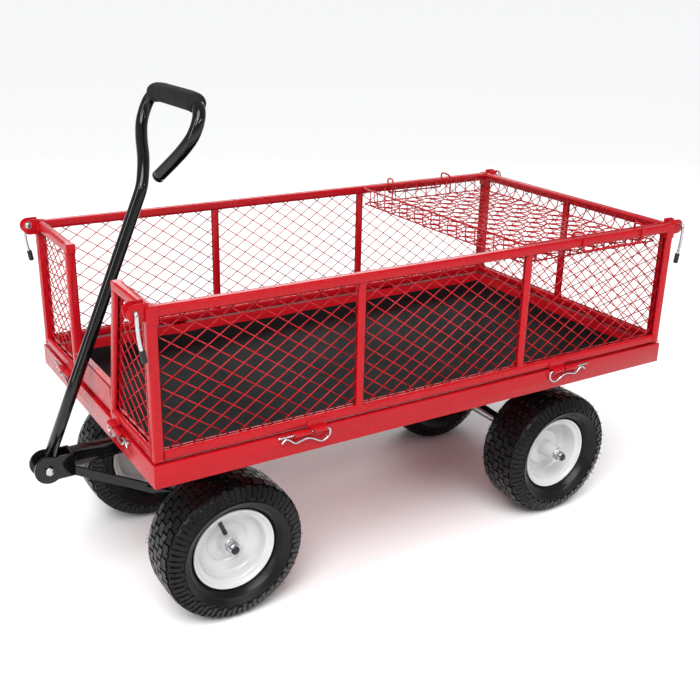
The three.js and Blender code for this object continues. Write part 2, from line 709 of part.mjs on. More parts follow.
// An end panel in the plane x, drawn from its outline and its windows of [across, up] points.
function endFrame(end, outline, windows, pockets) {
  const [x0, x1] = [-panelEnd, -panelEnd + TUBE];
  const opened = windows.map((window) => slab(window, x0 - 1, x1 + 1));
  const knuckles = [-1, 1].map((side) => onEnd(panelKnuckle(), -1, side));
  const frame = cut(slab(outline, x0, x1), ...opened, ...pockets);
  const whole = join(frame, ...knuckles, ...innerEars(-1));
  return end > 0 ? mirrorX(whole) : whole;
}

const slotBand = [-panelEnd + (TUBE - SLOT) / 2, -panelEnd + (TUBE + SLOT) / 2];
const lowRail = PANEL_BOTTOM + TUBE;
const highRail = PANEL_TOP - TUBE;
const stripInner = endHalf - END_STRIP;
const leanAt = (z) => NOTCH_HALF + (NOTCH_LEAN * (z - lowRail)) / (PANEL_TOP - lowRail);

// A wing's window: the tube round it on three sides, the flat end strip on the fourth.
function wingWindow(inner, side, grow) {
  const low = lowRail - grow;
  const high = highRail + grow;
  const points = [
    [side * (inner(low) - grow), low],
    [side * stripInner, low],
    [side * stripInner, high],
    [side * (inner(high) - grow), high],
  ];
  return side > 0 ? points : points.reverse();
}

const leftInner = () => NOTCH_HALF + TUBE;
const rightInner = (z) => leanAt(z) + TUBE;
const rearInner = () => TUBE / 2;

function frontFrame() {
  const outline = [
    [-endHalf, PANEL_BOTTOM],
    [endHalf, PANEL_BOTTOM],
    [endHalf, PANEL_TOP],
    [NOTCH_HALF, PANEL_TOP],
    [NOTCH_HALF, NOTCH_PLATE_TOP],
    [-leanAt(NOTCH_PLATE_TOP), NOTCH_PLATE_TOP],
    [-leanAt(PANEL_TOP), PANEL_TOP],
    [-endHalf, PANEL_TOP],
  ];
  const wings = [[leftInner, 1], [rightInner, -1]];
  const windows = wings.map(([inner, side]) => wingWindow(inner, side, 0));
  const slots = wings.map(([inner, side]) => slab(wingWindow(inner, side, SLOT_DEPTH), ...slotBand));
  const half = NOTCH_HALF - SHEET;
  const face = -panelEnd + PLATE_RECESS;
  const pockets = [
    ...slots,
    box(face + SHEET, -panelEnd + TUBE + 1, -half, half, PANEL_BOTTOM + SHEET, NOTCH_PLATE_TOP - SHEET),
    box(-panelEnd - 1, face, -half, half, PANEL_BOTTOM - 1, NOTCH_PLATE_TOP + 1),
  ];
  return endFrame(-1, outline, windows, pockets);
}

function rearFrame() {
  const outline = [
    [-endHalf, PANEL_BOTTOM],
    [endHalf, PANEL_BOTTOM],
    [endHalf, PANEL_TOP],
    [-endHalf, PANEL_TOP],
  ];
  const windows = [1, -1].map((side) => wingWindow(rearInner, side, 0));
  const behind = box(...slotBand, -stripInner, stripInner, lowRail - SLOT_DEPTH, highRail + SLOT_DEPTH);
  const postBack = box(slotBand[0], -panelEnd + TUBE + 1, -TUBE, TUBE, lowRail, highRail);
  return endFrame(1, outline, windows, [behind, postBack]);
}

function wingMesh(inner, side) {
  const grow = SLOT_DEPTH - 0.5;
  const edge = wingWindow(inner, side, grow).map(([y, z]) => {
    const strip = Math.abs(y) > stripInner - 1 ? side * (stripInner - GAP) : y;
    return [strip, z];
  });
  return slab(edge, ...meshFace(-panelEnd + TUBE / 2));
}

function rearMesh() {
  const half = stripInner - GAP;
  const [x0, x1] = meshFace(-panelEnd + TUBE / 2);
  const grow = SLOT_DEPTH - 0.5;
  return mirrorX(box(x0, x1, -half, half, lowRail - grow, highRail + grow));
}

const frontPanel = new THREE.Group();
const rearPanel = new THREE.Group();
cart.add(frontPanel, rearPanel);
piece("front_frame", frontFrame(), red, frontPanel);
piece("front_left_mesh", wingMesh(leftInner, 1), red, frontPanel);
piece("front_right_mesh", wingMesh(rightInner, -1), red, frontPanel);
piece("rear_frame", rearFrame(), red, rearPanel);
piece("rear_mesh", rearMesh(), red, rearPanel);
for (const [where, end, panel] of [["front", -1, frontPanel], ["rear", 1, rearPanel]])
  for (const [name, side] of [["right", -1], ["left", 1]]) {
    piece(`${where}_panel_${name}_clip`, onEnd(clip(), end, side), zinc, bed);
    const screw = side < 0 ? latchScrew() : mirrorY(latchScrew());
    const place = [end * (panelEnd + LATCH_OUT), side * (INNER_EAR_Y - GAP), LATCH_Z];
    piece(`${where}_${name}_latch_screw`, screw, zinc, panel, place);
  }

// ---------------------------------------------------------------- basket
function basket() {
  const wall = BASKET_WALL;
  const tray = cut(
    box(BASKET_FRONT, BASKET_REAR, -BASKET_HALF, BASKET_HALF, BASKET_BOTTOM, BASKET_TOP),
    box(BASKET_FRONT + wall, BASKET_REAR - wall, -BASKET_HALF + wall, BASKET_HALF - wall,
      BASKET_BOTTOM + wall, BASKET_TOP + 1),
  );
  const top = PANEL_TOP + HOOK_LIFT;
  const hooks = HOOK_X.flatMap((x) => {
    const [x0, x1] = [x - HOOK_WIDTH / 2, x + HOOK_WIDTH / 2];
    const riser = box(x0, x1, -BASKET_HALF, -BASKET_HALF + wall, BASKET_TOP - 5, top + wall);
    const over = box(x0, x1, panelMiddle - TUBE / 2, -BASKET_HALF + wall, top, top + wall);
    const hook = join(riser, over);
    return [hook, mirrorY(hook)];
  });
  return join(tray, ...hooks);
}
piece("basket", basket(), red, cart);

export default cart;
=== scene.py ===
"""Looks for a mesh-sided garden cart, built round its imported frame.

The frame gives every place. Lengths inside the sub-assemblies are millimetres, counted from the middle of
the tray on the ground: x towards the rear, y towards the cart's left, z up. Layout turns them into metres.
"""

from __future__ import annotations

import logging
import math
import random
from dataclasses import dataclass, field
from enum import Enum
from typing import Callable, Iterable, Sequence

import bmesh
import bpy
from mathutils import Matrix, Vector, noise

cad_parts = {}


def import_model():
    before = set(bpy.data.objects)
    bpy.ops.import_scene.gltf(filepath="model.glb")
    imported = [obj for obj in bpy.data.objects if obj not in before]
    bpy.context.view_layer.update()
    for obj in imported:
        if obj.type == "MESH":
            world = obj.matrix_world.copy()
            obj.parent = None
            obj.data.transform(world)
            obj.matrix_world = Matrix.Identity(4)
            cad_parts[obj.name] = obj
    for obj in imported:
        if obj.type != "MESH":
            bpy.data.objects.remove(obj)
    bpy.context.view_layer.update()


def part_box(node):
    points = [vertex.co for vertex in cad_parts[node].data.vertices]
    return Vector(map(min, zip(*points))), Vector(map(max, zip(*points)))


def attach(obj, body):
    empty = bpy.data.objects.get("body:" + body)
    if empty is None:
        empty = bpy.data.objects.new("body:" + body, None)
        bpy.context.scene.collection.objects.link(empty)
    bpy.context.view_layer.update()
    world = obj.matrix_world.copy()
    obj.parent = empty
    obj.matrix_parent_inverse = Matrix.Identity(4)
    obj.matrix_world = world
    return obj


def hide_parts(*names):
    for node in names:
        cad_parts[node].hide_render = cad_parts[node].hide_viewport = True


log = logging.getLogger("garden_cart")

MM = 0.001
SMOOTH_ANGLE = math.radians(32)
SAME_PLACE = 1e-6  # points closer than this are merged
PIN_Z = 430.0  # height of the hinge pins
PIN_OUT = 6.2  # how far they stand out from the tray's faces

Outline = Sequence[tuple[float, float]]
Triple = tuple[float, float, float]


class Side(Enum):
    """The cart's two long sides, with the sign of y there."""

    LEFT = 1
    RIGHT = -1

    @property
    def word(self) -> str:
        """The side's name as node names spell it."""
        return self.name.lower()


class End(Enum):
    """The cart's two ends, with the sign of x there."""

    FRONT = -1
    REAR = 1

    @property
    def word(self) -> str:
        """The end's name as node names spell it."""
        return self.name.lower()


class Slot(Enum):
    """The record's material slots."""

    RED = "red_powder_coat"
    LINER = "tray_liner"
    BLACK = "black_gloss_steel"
    ZINC = "zinc_steel"
    PLASTIC = "black_plastic"
    FOAM = "foam_grip"
    TYRE = "tyre_rubber"
    VALVE = "valve_rubber"
    RIM = "white_rim"


# ------------------------------------------------------------------------------------------ finishes
def new_group(name: str, inputs: dict[str, object], outputs: dict[str, str]) -> bpy.types.NodeTree:
    """Make an empty shader node group.

    Args:
        name: the group's name.
        inputs: default value of each input; a number, or a colour of four numbers.
        outputs: socket type of each output.

    Returns:
        The group's node tree, with its input and output nodes named "in" and "out".
    """
    tree = bpy.data.node_groups.new(name, "ShaderNodeTree")
    for label, value in inputs.items():
        kind = "NodeSocketColor" if isinstance(value, tuple) else "NodeSocketFloat"
        socket = tree.interface.new_socket(name=label, in_out="INPUT", socket_type=kind)
        socket.default_value = value
    for label, kind in outputs.items():
        tree.interface.new_socket(name=label, in_out="OUTPUT", socket_type=kind)
    tree.nodes.new("NodeGroupInput").name = "in"
    tree.nodes.new("NodeGroupOutput").name = "out"
    return tree


def coat_group() -> bpy.types.NodeTree:
    """Make the group for cloudy colour, uneven gloss and a fine grain, as on paint, plate and rubber.

    Returns:
        The node group.
    """
    inputs: dict[str, object] = {
        "Light": (0.8, 0.8, 0.8, 1.0),
        "Dark": (0.6, 0.6, 0.6, 1.0),
        "Cloud Scale": 9.0,
        "Gloss Low": 0.2,
        "Gloss High": 0.4,
        "Gloss Scale": 35.0,
        "Grain Scale": 700.0,
        "Grain Strength": 0.1,
        "Grain Depth": 0.0002,
    }
    outputs = {"Color": "NodeSocketColor", "Roughness": "NodeSocketFloat", "Normal": "NodeSocketVector"}
    tree = new_group("uneven_coat", inputs, outputs)
    nodes, link = tree.nodes, tree.links.new
    given, out = nodes["in"].outputs, nodes["out"].inputs
    place = nodes.new("ShaderNodeTexCoord")

    def clouds(scale: str, detail: float) -> bpy.types.Node:
        """Add a noise texture whose scale is one of the group's inputs."""
        node = nodes.new("ShaderNodeTexNoise")
        node.inputs["Detail"].default_value = detail
        link(place.outputs["Object"], node.inputs["Vector"])
        link(given[scale], node.inputs["Scale"])
        return node

    tint = nodes.new("ShaderNodeMix")
    tint.data_type = "RGBA"
    link(clouds("Cloud Scale", 3.0).outputs["Fac"], tint.inputs["Factor"])
    link(given["Dark"], tint.inputs["A"])
    link(given["Light"], tint.inputs["B"])
    link(tint.outputs["Result"], out["Color"])

    gloss = nodes.new("ShaderNodeMapRange")
    link(clouds("Gloss Scale", 4.0).outputs["Fac"], gloss.inputs["Value"])
    gloss.inputs["From Min"].default_value = 0.3
    gloss.inputs["From Max"].default_value = 0.7
    link(given["Gloss Low"], gloss.inputs["To Min"])
    link(given["Gloss High"], gloss.inputs["To Max"])
    link(gloss.outputs["Result"], out["Roughness"])

    bump = nodes.new("ShaderNodeBump")
    link(clouds("Grain Scale", 2.0).outputs["Fac"], bump.inputs["Height"])
    link(given["Grain Strength"], bump.inputs["Strength"])
    link(given["Grain Depth"], bump.inputs["Distance"])
    link(bump.outputs["Normal"], out["Normal"])
    return tree


def cell_group() -> bpy.types.NodeTree:
    """Make the group for small round cells, as in foam and pebbled sheet.

    Returns:
        The node group, whose output is a height between 0 and 1.
    """
    tree = new_group("small_cells", {"Scale": 900.0}, {"Height": "NodeSocketFloat"})
    nodes, link = tree.nodes, tree.links.new
    place = nodes.new("ShaderNodeTexCoord")
    cells = nodes.new("ShaderNodeTexVoronoi")
    link(place.outputs["Object"], cells.inputs["Vector"])
    link(nodes["in"].outputs["Scale"], cells.inputs["Scale"])
    link(cells.outputs["Distance"], nodes["out"].inputs["Height"])
    return tree


def dust_group() -> bpy.types.NodeTree:
    """Make the group for a faint dust that gathers in patches.

    Returns:
        The node group, whose output is a mask between 0 and 1.
    """
    tree = new_group("settled_dust", {"Amount": 0.3, "Patch Scale": 12.0}, {"Mask": "NodeSocketFloat"})
    nodes, link = tree.nodes, tree.links.new
    place = nodes.new("ShaderNodeTexCoord")
    patches = nodes.new("ShaderNodeTexNoise")
    patches.inputs["Detail"].default_value = 6.0
    link(place.outputs["Object"], patches.inputs["Vector"])
    link(nodes["in"].outputs["Patch Scale"], patches.inputs["Scale"])
    sharpen = nodes.new("ShaderNodeMapRange")
    sharpen.inputs["From Min"].default_value = 0.45
    sharpen.inputs["From Max"].default_value = 0.75
    link(patches.outputs["Fac"], sharpen.inputs["Value"])
    scaled = nodes.new("ShaderNodeMath")
    scaled.operation = "MULTIPLY"
    link(sharpen.outputs["Result"], scaled.inputs[0])
    link(nodes["in"].outputs["Amount"], scaled.inputs[1])
    link(scaled.outputs["Value"], nodes["out"].inputs["Mask"])
    return tree


@dataclass(frozen=True)
class Finish:
    """One surface finish of the cart."""

    slot: Slot
    light: Triple
    dark: Triple
    gloss: tuple[float, float]
    metallic: float = 0.0
    specular: float = 0.5
    coat: float = 0.0
    cloud_scale: float = 9.0
    gloss_scale: float = 35.0
    grain_scale: float = 700.0
    grain_strength: float = 0.1
    grain_depth: float = 0.0002
    cell_scale: float = 0.0
    dust: float = 0.0

    def material(self, groups: dict[str, bpy.types.NodeTree]) -> bpy.types.Material:
        """Make the finish's material.

        Args:
            groups: the shared node groups by name.

        Returns:
            The material, named after its slot.
        """
        made = bpy.data.materials.new(self.slot.value)
        made.use_nodes = True
        nodes, link = made.node_tree.nodes, made.node_tree.links.new
        shader = nodes["Principled BSDF"]
        shader.inputs["Metallic"].default_value = self.metallic
        shader.inputs["Specular IOR Level"].default_value = self.specular
        shader.inputs["Coat Weight"].default_value = self.coat
        shader.inputs["Coat Roughness"].default_value = 0.08

        coat = nodes.new("ShaderNodeGroup")
        coat.node_tree = groups["coat"]
        values = {
            "Light": (*self.light, 1.0),
            "Dark": (*self.dark, 1.0),
            "Cloud Scale": self.cloud_scale,
            "Gloss Low": self.gloss[0],
            "Gloss High": self.gloss[1],
            "Gloss Scale": self.gloss_scale,
            "Grain Scale": self.grain_scale,
            "Grain Strength": self.grain_strength,
            "Grain Depth": self.grain_depth,
        }
        for label, value in values.items():
            coat.inputs[label].default_value = value
        colour = coat.outputs["Color"]
        if self.dust:
            colour = self._dusted(made.node_tree, groups["dust"], colour)
        link(colour, shader.inputs["Base Color"])
        link(coat.outputs["Roughness"], shader.inputs["Roughness"])
        normal = coat.outputs["Normal"]
        if self.cell_scale:
            normal = self._celled(made.node_tree, groups["cells"], normal)
        link(normal, shader.inputs["Normal"])
        return made

    def _dusted(
        self, tree: bpy.types.NodeTree, group: bpy.types.NodeTree, colour: bpy.types.NodeSocket
    ) -> bpy.types.NodeSocket:
        """Lay dust over a colour.

        Args:
            tree: the material's tree.
            group: the dust group.
            colour: the clean colour.

        Returns:
            The dusty colour.
        """
        mask = tree.nodes.new("ShaderNodeGroup")
        mask.node_tree = group
        mask.inputs["Amount"].default_value = self.dust
        mix = tree.nodes.new("ShaderNodeMix")
        mix.data_type = "RGBA"
        mix.inputs["B"].default_value = (0.16, 0.15, 0.14, 1.0)
        tree.links.new(mask.outputs["Mask"], mix.inputs["Factor"])
        tree.links.new(colour, mix.inputs["A"])
        return mix.outputs["Result"]

    def _celled(
        self, tree: bpy.types.NodeTree, group: bpy.types.NodeTree, normal: bpy.types.NodeSocket
    ) -> bpy.types.NodeSocket:
        """Press small cells into a surface.

        Args:
            tree: the material's tree.
            group: the cell group.
            normal: the normal so far.

        Returns:
            The normal with cells.
        """
        cells = tree.nodes.new("ShaderNodeGroup")
        cells.node_tree = group
        cells.inputs["Scale"].default_value = self.cell_scale
        bump = tree.nodes.new("ShaderNodeBump")
        bump.inputs["Strength"].default_value = 0.45
        bump.inputs["Distance"].default_value = 0.0006
        tree.links.new(cells.outputs["Height"], bump.inputs["Height"])
        tree.links.new(normal, bump.inputs["Normal"])
        return bump.outputs["Normal"]


FINISHES = (
    Finish(Slot.RED, (0.45, 0.0045, 0.011), (0.38, 0.0035, 0.008), (0.22, 0.32), specular=0.12, coat=0.22,
           grain_scale=420.0, grain_strength=0.12),
    Finish(Slot.LINER, (0.0062, 0.0062, 0.0066), (0.0045, 0.0045, 0.0048), (0.5, 0.6), specular=0.05,
           cloud_scale=2.2, gloss_scale=6.0, grain_scale=1500.0, grain_strength=0.12, dust=0.004),
    Finish(Slot.BLACK, (0.0045, 0.0045, 0.005), (0.003, 0.003, 0.0035), (0.1, 0.17), specular=0.2, coat=0.4,
           grain_scale=420.0, grain_strength=0.12),
    Finish(Slot.ZINC, (0.60, 0.61, 0.62), (0.48, 0.49, 0.51), (0.15, 0.25), metallic=1.0,
           cloud_scale=30.0, gloss_scale=60.0, grain_scale=1300.0, grain_strength=0.08),
    Finish(Slot.PLASTIC, (0.014, 0.014, 0.015), (0.009, 0.009, 0.010), (0.36, 0.46), specular=0.35,
           grain_scale=1600.0, grain_strength=0.25),
    Finish(Slot.FOAM, (0.012, 0.012, 0.013), (0.007, 0.007, 0.008), (0.7, 0.85), specular=0.2,
           cloud_scale=60.0, cell_scale=1400.0, dust=0.02),
    Finish(Slot.TYRE, (0.0055, 0.0055, 0.0062), (0.0035, 0.0035, 0.0042), (0.26, 0.4), specular=0.24,
           cloud_scale=25.0, grain_scale=900.0, grain_strength=0.25, dust=0.008),
    Finish(Slot.VALVE, (0.012, 0.012, 0.013), (0.008, 0.008, 0.009), (0.36, 0.48), grain_scale=1200.0,
           grain_strength=0.2),
    Finish(Slot.RIM, (0.63, 0.635, 0.625), (0.58, 0.585, 0.575), (0.12, 0.2), coat=0.4, grain_scale=260.0,
           grain_strength=0.08),
)


# --------------------------------------------------------------------------------------- bench work
def only(obj: bpy.types.Object) -> None:
    """Select one object and nothing else."""
    for other in bpy.context.selected_objects:
        other.select_set(False)
    obj.select_set(True)
    bpy.context.view_layer.objects.active = obj


def edit(obj: bpy.types.Object, *steps: Callable[[], object], select: bool = True) -> bpy.types.Object:
    """Run operators on an object in edit mode.

    Args:
        obj: the object.
        steps: what to run, in order.
        select: whether everything is selected first.

    Returns:
        The same object.
    """
    only(obj)
    bpy.ops.object.mode_set(mode="EDIT")
    if select:
        bpy.ops.mesh.select_all(action="SELECT")
    for step in steps:
        step()
    bpy.ops.object.mode_set(mode="OBJECT")
    return obj


def smooth(obj: bpy.types.Object, angle: float = SMOOTH_ANGLE) -> bpy.types.Object:
    """Shade an object smooth, except over edges sharper than an angle."""
    only(obj)
    bpy.ops.object.shade_smooth_by_angle(angle=angle)
    return obj


def soften(obj: bpy.types.Object, width: float, segments: int = 2, sharp: float = 35.0) -> bpy.types.Object:
    """Round the sharp edges of an object.

    Args:
        obj: the object.
        width: the rounding's width in metres.
        segments: how many faces it has across.
        sharp: the least angle between faces that is rounded, in degrees.

    Returns:
        The same object.
    """
    return edit(
        obj,
        lambda: bpy.ops.mesh.select_all(action="DESELECT"),
        lambda: bpy.ops.mesh.select_mode(type="EDGE"),
        lambda: bpy.ops.mesh.edges_select_sharp(sharpness=math.radians(sharp)),
        lambda: bpy.ops.mesh.bevel(offset=width, segments=segments, affect="EDGES", clamp_overlap=True),
        lambda: bpy.ops.mesh.select_mode(type="VERT"),
        select=False,
    )


def outward(obj: bpy.types.Object) -> bpy.types.Object:
    """Merge an object's doubles and turn its faces outwards."""
    return edit(
        obj,
        lambda: bpy.ops.mesh.remove_doubles(threshold=SAME_PLACE),
        lambda: bpy.ops.mesh.normals_make_consistent(inside=False),
    )


def placed(name: str, data: bpy.types.ID) -> bpy.types.Object:
    """Put a mesh, curve, light or camera into the scene as an object."""
    obj = bpy.data.objects.new(name, data)
    bpy.context.scene.collection.objects.link(obj)
    return obj


def loose_mesh(points: Iterable[Vector], faces: Sequence[Sequence[int]]) -> bpy.types.Object:
    """Make an object from points and faces."""
    mesh = bpy.data.meshes.new("loose")
    mesh.from_pydata([tuple(p) for p in points], [], [list(f) for f in faces])
    return placed("loose", mesh)


def drops(places: Iterable[tuple[Vector, float]], fineness: int) -> bpy.types.Object:
    """Make round drops of weld.

    Args:
        places: the middle and the radius of each drop.
        fineness: how finely they are rounded; 1 gives twenty faces.

    Returns:
        All the drops as one mesh.
    """
    work = bmesh.new()
    for middle, radius in places:
        place = Matrix.Translation(middle) @ Matrix.Scale(radius, 4)
        bmesh.ops.create_icosphere(work, subdivisions=fineness, radius=1.0, matrix=place)
    mesh = bpy.data.meshes.new("drops")
    work.to_mesh(mesh)
    work.free()
    return smooth(placed("drops", mesh), math.pi)


def block(a: Vector, b: Vector, rounding: float = 0.0, segments: int = 2) -> bpy.types.Object:
    """Make a box between two opposite corners, with rounded edges.

    Args:
        a: one corner.
        b: the opposite corner.
        rounding: the edges' radius.
        segments: faces across a rounded edge.

    Returns:
        The box.
    """
    bpy.ops.mesh.primitive_cube_add(size=1.0, location=(a + b) / 2)
    made = bpy.context.active_object
    made.scale = [abs(q - p) for p, q in zip(a, b)]
    bpy.ops.object.transform_apply(location=True, rotation=True, scale=True)
    if rounding:
        edit(made, lambda: bpy.ops.mesh.bevel(offset=rounding, segments=segments, affect="EDGES"))
    return made


def plate(outline: Sequence[Vector], thickness: Vector, rounding: float = 0.0) -> bpy.types.Object:
    """Make a flat plate from its outline.

    Args:
        outline: the corners of one face, in order.
        thickness: the way to the other face.
        rounding: the edges' radius.

    Returns:
        The plate.
    """
    made = loose_mesh(outline, [range(len(outline))])
    edit(
        made,
        lambda: bpy.ops.mesh.extrude_region_move(TRANSFORM_OT_translate={"value": tuple(thickness)}),
        lambda: bpy.ops.mesh.select_all(action="SELECT"),
        lambda: bpy.ops.mesh.normals_make_consistent(inside=False),
    )
    return soften(made, rounding, 2, 50.0) if rounding else made


def bar(a: Vector, b: Vector, radius: float, sides: int = 24, rounding: float = 0.0) -> bpy.types.Object:
    """Make a straight round bar, or a prism when its sides are few.

    Args:
        a: the middle of one end.
        b: the middle of the other.
        radius: the bar's radius, to its corners.
        sides: faces around it.
        rounding: the radius of the edges at its ends.

    Returns:
        The bar.
    """
    turn = (b - a).to_track_quat("Z", "Y").to_euler()
    bpy.ops.mesh.primitive_cylinder_add(
        vertices=sides, radius=radius, depth=(b - a).length, location=(a + b) / 2, rotation=turn
    )
    made = bpy.context.active_object
    bpy.ops.object.transform_apply(location=True, rotation=True, scale=True)
    return soften(made, rounding, 2, 50.0) if rounding else made


def turned(
    profile: Outline, centre: Vector, axis: Vector, steps: int = 64, angle: float = SMOOTH_ANGLE
) -> bpy.types.Object:
    """Turn a closed profile about an axis.

    Args:
        profile: (radius, along) points in millimetres, closed on themselves.
        centre: where the axis starts.
        axis: the axis, of length 1.
        steps: faces around.
        angle: edges sharper than this stay sharp.

    Returns:
        The turned ring.
    """
    across = axis.orthogonal().normalized()
    points = [centre + across * (r * MM) + axis * (t * MM) for r, t in profile]
    count = len(points)
    mesh = bpy.data.meshes.new("profile")
    mesh.from_pydata([tuple(p) for p in points], [(i, (i + 1) % count) for i in range(count)], [])
    made = placed("turned", mesh)
    edit(
        made,
        lambda: bpy.ops.mesh.spin(
            steps=steps, angle=2 * math.pi, center=tuple(centre), axis=tuple(axis), dupli=False
        ),
        lambda: bpy.ops.mesh.select_all(action="SELECT"),
        lambda: bpy.ops.mesh.remove_doubles(threshold=SAME_PLACE),
        lambda: bpy.ops.mesh.normals_make_consistent(inside=False),
    )
    return smooth(made, angle)


def wires(
    paths: Iterable[Sequence[Vector]],
    radius: float,
    corners: int = 2,
    closed: bool = False,
    taper: Sequence[float] | None = None,
) -> bpy.types.Object:
    """Make round wires along paths.

    Args:
        paths: the points of each wire.
        radius: the wires' radius.
        corners: how finely they are rounded; 2 gives eight sides.
        closed: whether each wire closes on itself.
        taper: a factor on the radius at each point of every path.

    Returns:
        All the wires as one mesh.
    """
    curve = bpy.data.curves.new("wires", "CURVE")
    curve.dimensions = "3D"
    curve.bevel_depth = radius
    curve.bevel_resolution = corners
    curve.use_fill_caps = not closed
    for path in paths:
        spline = curve.splines.new("POLY")
        spline.points.add(len(path) - 1)
        for i, (point, place) in enumerate(zip(spline.points, path)):
            point.co = (*place, 1.0)
            point.radius = taper[i] if taper else 1.0
        spline.use_cyclic_u = closed
    only(placed("wires", curve))
    bpy.ops.object.convert(target="MESH")
    return outward(smooth(bpy.context.active_object))


def rounded(points: Sequence[Vector], steps: int = 6, tightness: float = 0.5) -> list[Vector]:
    """Lay a smooth path through points.

    Args:
        points: the places it passes.
        steps: how many pieces it has between two of them.
        tightness: the share of the neighbours' span that each tangent takes.

    Returns:
        The path's points.
    """
    ends = [points[0] * 2 - points[1], *points, points[-1] * 2 - points[-2]]
    path = []
    for a, b, c, d in zip(ends, ends[1:], ends[2:], ends[3:]):
        out, into = (c - a) * tightness, (d - b) * tightness
        for i in range(steps):
            t = i / steps
            t2, t3 = t * t, t * t * t
            path.append(
                b * (2 * t3 - 3 * t2 + 1) + out * (t3 - 2 * t2 + t) + c * (3 * t2 - 2 * t3) + into * (t3 - t2)
            )
    return [*path, points[-1]]


def bead(a: Vector, b: Vector, radius: float = 1.6 * MM, pitch: float = 2.6 * MM) -> bpy.types.Object:
    """Lay a weld bead of overlapping drops between two points."""
    count = max(2, round((b - a).length / pitch))
    swells = [radius * (0.9 + 0.2 * ((i * 7) % 5) / 4) for i in range(count + 1)]
    return drops([(a.lerp(b, i / count), swell) for i, swell in enumerate(swells)], 2)


def joined(parts: Sequence[bpy.types.Object]) -> bpy.types.Object:
    """Join objects into one mesh."""
    only(parts[0])
    for part in parts:
        part.select_set(True)
    if len(parts) > 1:
        bpy.ops.object.join()
    return bpy.context.view_layer.objects.active


def copied(obj: bpy.types.Object, change: Matrix) -> bpy.types.Object:
    """Copy an object with its own mesh, moved or mirrored.

    Args:
        obj: the object.
        change: where the copy goes.

    Returns:
        The copy, with its faces still outwards.
    """
    made = obj.copy()
    made.data = obj.data.copy()
    made.data.transform(change)
    bpy.context.scene.collection.objects.link(made)
    if change.determinant() < 0:
        made.data.flip_normals()
    return made


def rounded_square(half: float, radius: float, steps: int = 4) -> list[tuple[float, float]]:
    """Give the outline of a square with round corners, anticlockwise from the middle of its top edge."""
    points = [(0.0, half)]
    for corner in range(4):
        start = math.pi / 2 * (corner + 1)
        middle = math.pi / 2 * (corner + 1) + math.pi / 4
        cx = math.copysign(half - radius, math.cos(middle))
        cy = math.copysign(half - radius, math.sin(middle))
        for i in range(steps + 1):
            a = start + math.pi / 2 * i / steps
            points.append((cx + radius * math.cos(a), cy + radius * math.sin(a)))
    return points


@dataclass(frozen=True)
class SlottedTube:
    """The square tube that the panels are made of, with a slot that holds the mesh."""

    half: float = 10.0
    corner: float = 4.6
    wall: float = 1.6
    slot: float = 2.4

    def section(self) -> list[tuple[float, float]]:
        """Give the tube's outline, open at the slot in its top edge."""
        outer = rounded_square(self.half, self.corner)[1:]
        inner = rounded_square(self.half - self.wall, self.corner - self.wall)[1:]
        lip = self.half - self.wall
        loop = [(-self.slot, self.half), *outer, (self.slot, self.half)]
        back = [(self.slot, lip), *reversed(inner), (-self.slot, lip)]
        return loop + back

    def between(self, a: Vector, b: Vector, slot_way: Vector) -> bpy.types.Object:
        """Make a length of tube.

        Args:
            a: the middle of one end.
            b: the middle of the other.
            slot_way: the way that the slot looks.

        Returns:
            The tube.
        """
        along = (b - a).normalized()
        up = (slot_way - along * slot_way.dot(along)).normalized()
        right = up.cross(along)
        outline = [a + (right * u + up * v) * MM for u, v in self.section()]
        made = plate(outline, b - a)
        return smooth(soften(made, 0.35 * MM, 1, 60.0))


def wire_diamonds(corners: Outline, wide: float, tall: float, shift: float = 0.0) -> tuple[list, list, list]:
    """Fill a convex outline with diamonds.

    Args:
        corners: the outline's corners, anticlockwise.
        wide: a diamond's width.
        tall: a diamond's height.
        shift: moves the pattern along.

    Returns:
        The ends of the rising wires, the ends of the falling wires, and the places where they cross.
    """
    def clip(x: float, z: float, dx: float, dz: float) -> tuple | None:
        """Cut a line to the outline."""
        low, high = -1e9, 1e9
        for (ax, az), (bx, bz) in zip(corners, [*corners[1:], corners[0]]):
            nx, nz = az - bz, bx - ax
            slope = nx * dx + nz * dz
            room = nx * (x - ax) + nz * (z - az)
            if abs(slope) < 1e-9:
                if room < 0:
                    return None
            elif slope > 0:
                low = max(low, -room / slope)
            else:
                high = min(high, -room / slope)
        if high - low < 3:
            return None
        return (x + dx * low, z + dz * low), (x + dx * high, z + dz * high)

    xs, zs = [p[0] for p in corners], [p[1] for p in corners]
    size = math.hypot(wide, tall)
    dx, dz = wide / size, tall / size
    reach = (max(zs) - min(zs)) * wide / tall
    first = math.floor((min(xs) - reach - shift) / wide)
    last = math.ceil((max(xs) + reach - shift) / wide)
    base = min(zs)
    rising = [clip(shift + i * wide, base, dx, dz) for i in range(first, last + 1)]
    falling = [clip(shift + i * wide, base, -dx, dz) for i in range(first, last + 1)]

    def inside(x: float, z: float) -> bool:
        """Tell whether a point lies inside the outline."""
        pairs = zip(corners, [*corners[1:], corners[0]])
        return all((az - bz) * (x - ax) + (bx - ax) * (z - az) > 2 for (ax, az), (bx, bz) in pairs)

    crossings = []
    for i in range(2 * first, 2 * last + 1):
        for k in range(round((max(zs) - base) / tall * 2) + 2):
            if (i + k) % 2 == 0:
                crossings.append((shift + i * wide / 2, base + k * tall / 2))
    return (
        [line for line in rising if line],
        [line for line in falling if line],
        [place for place in crossings if inside(*place)],
    )


# ----------------------------------------------------------------------------------------- the frame
class Layout:
    """Where the tray's middle is in the row frame."""

    def __init__(self) -> None:
        """Measure the frame."""
        low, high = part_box("bed_liner")
        self.tray_x = (low[0] + high[0]) / 2

    def at(self, x: float, y: float, z: float) -> Vector:
        """Turn tray millimetres into row metres."""
        return Vector((x * MM + self.tray_x, y * MM, z * MM))


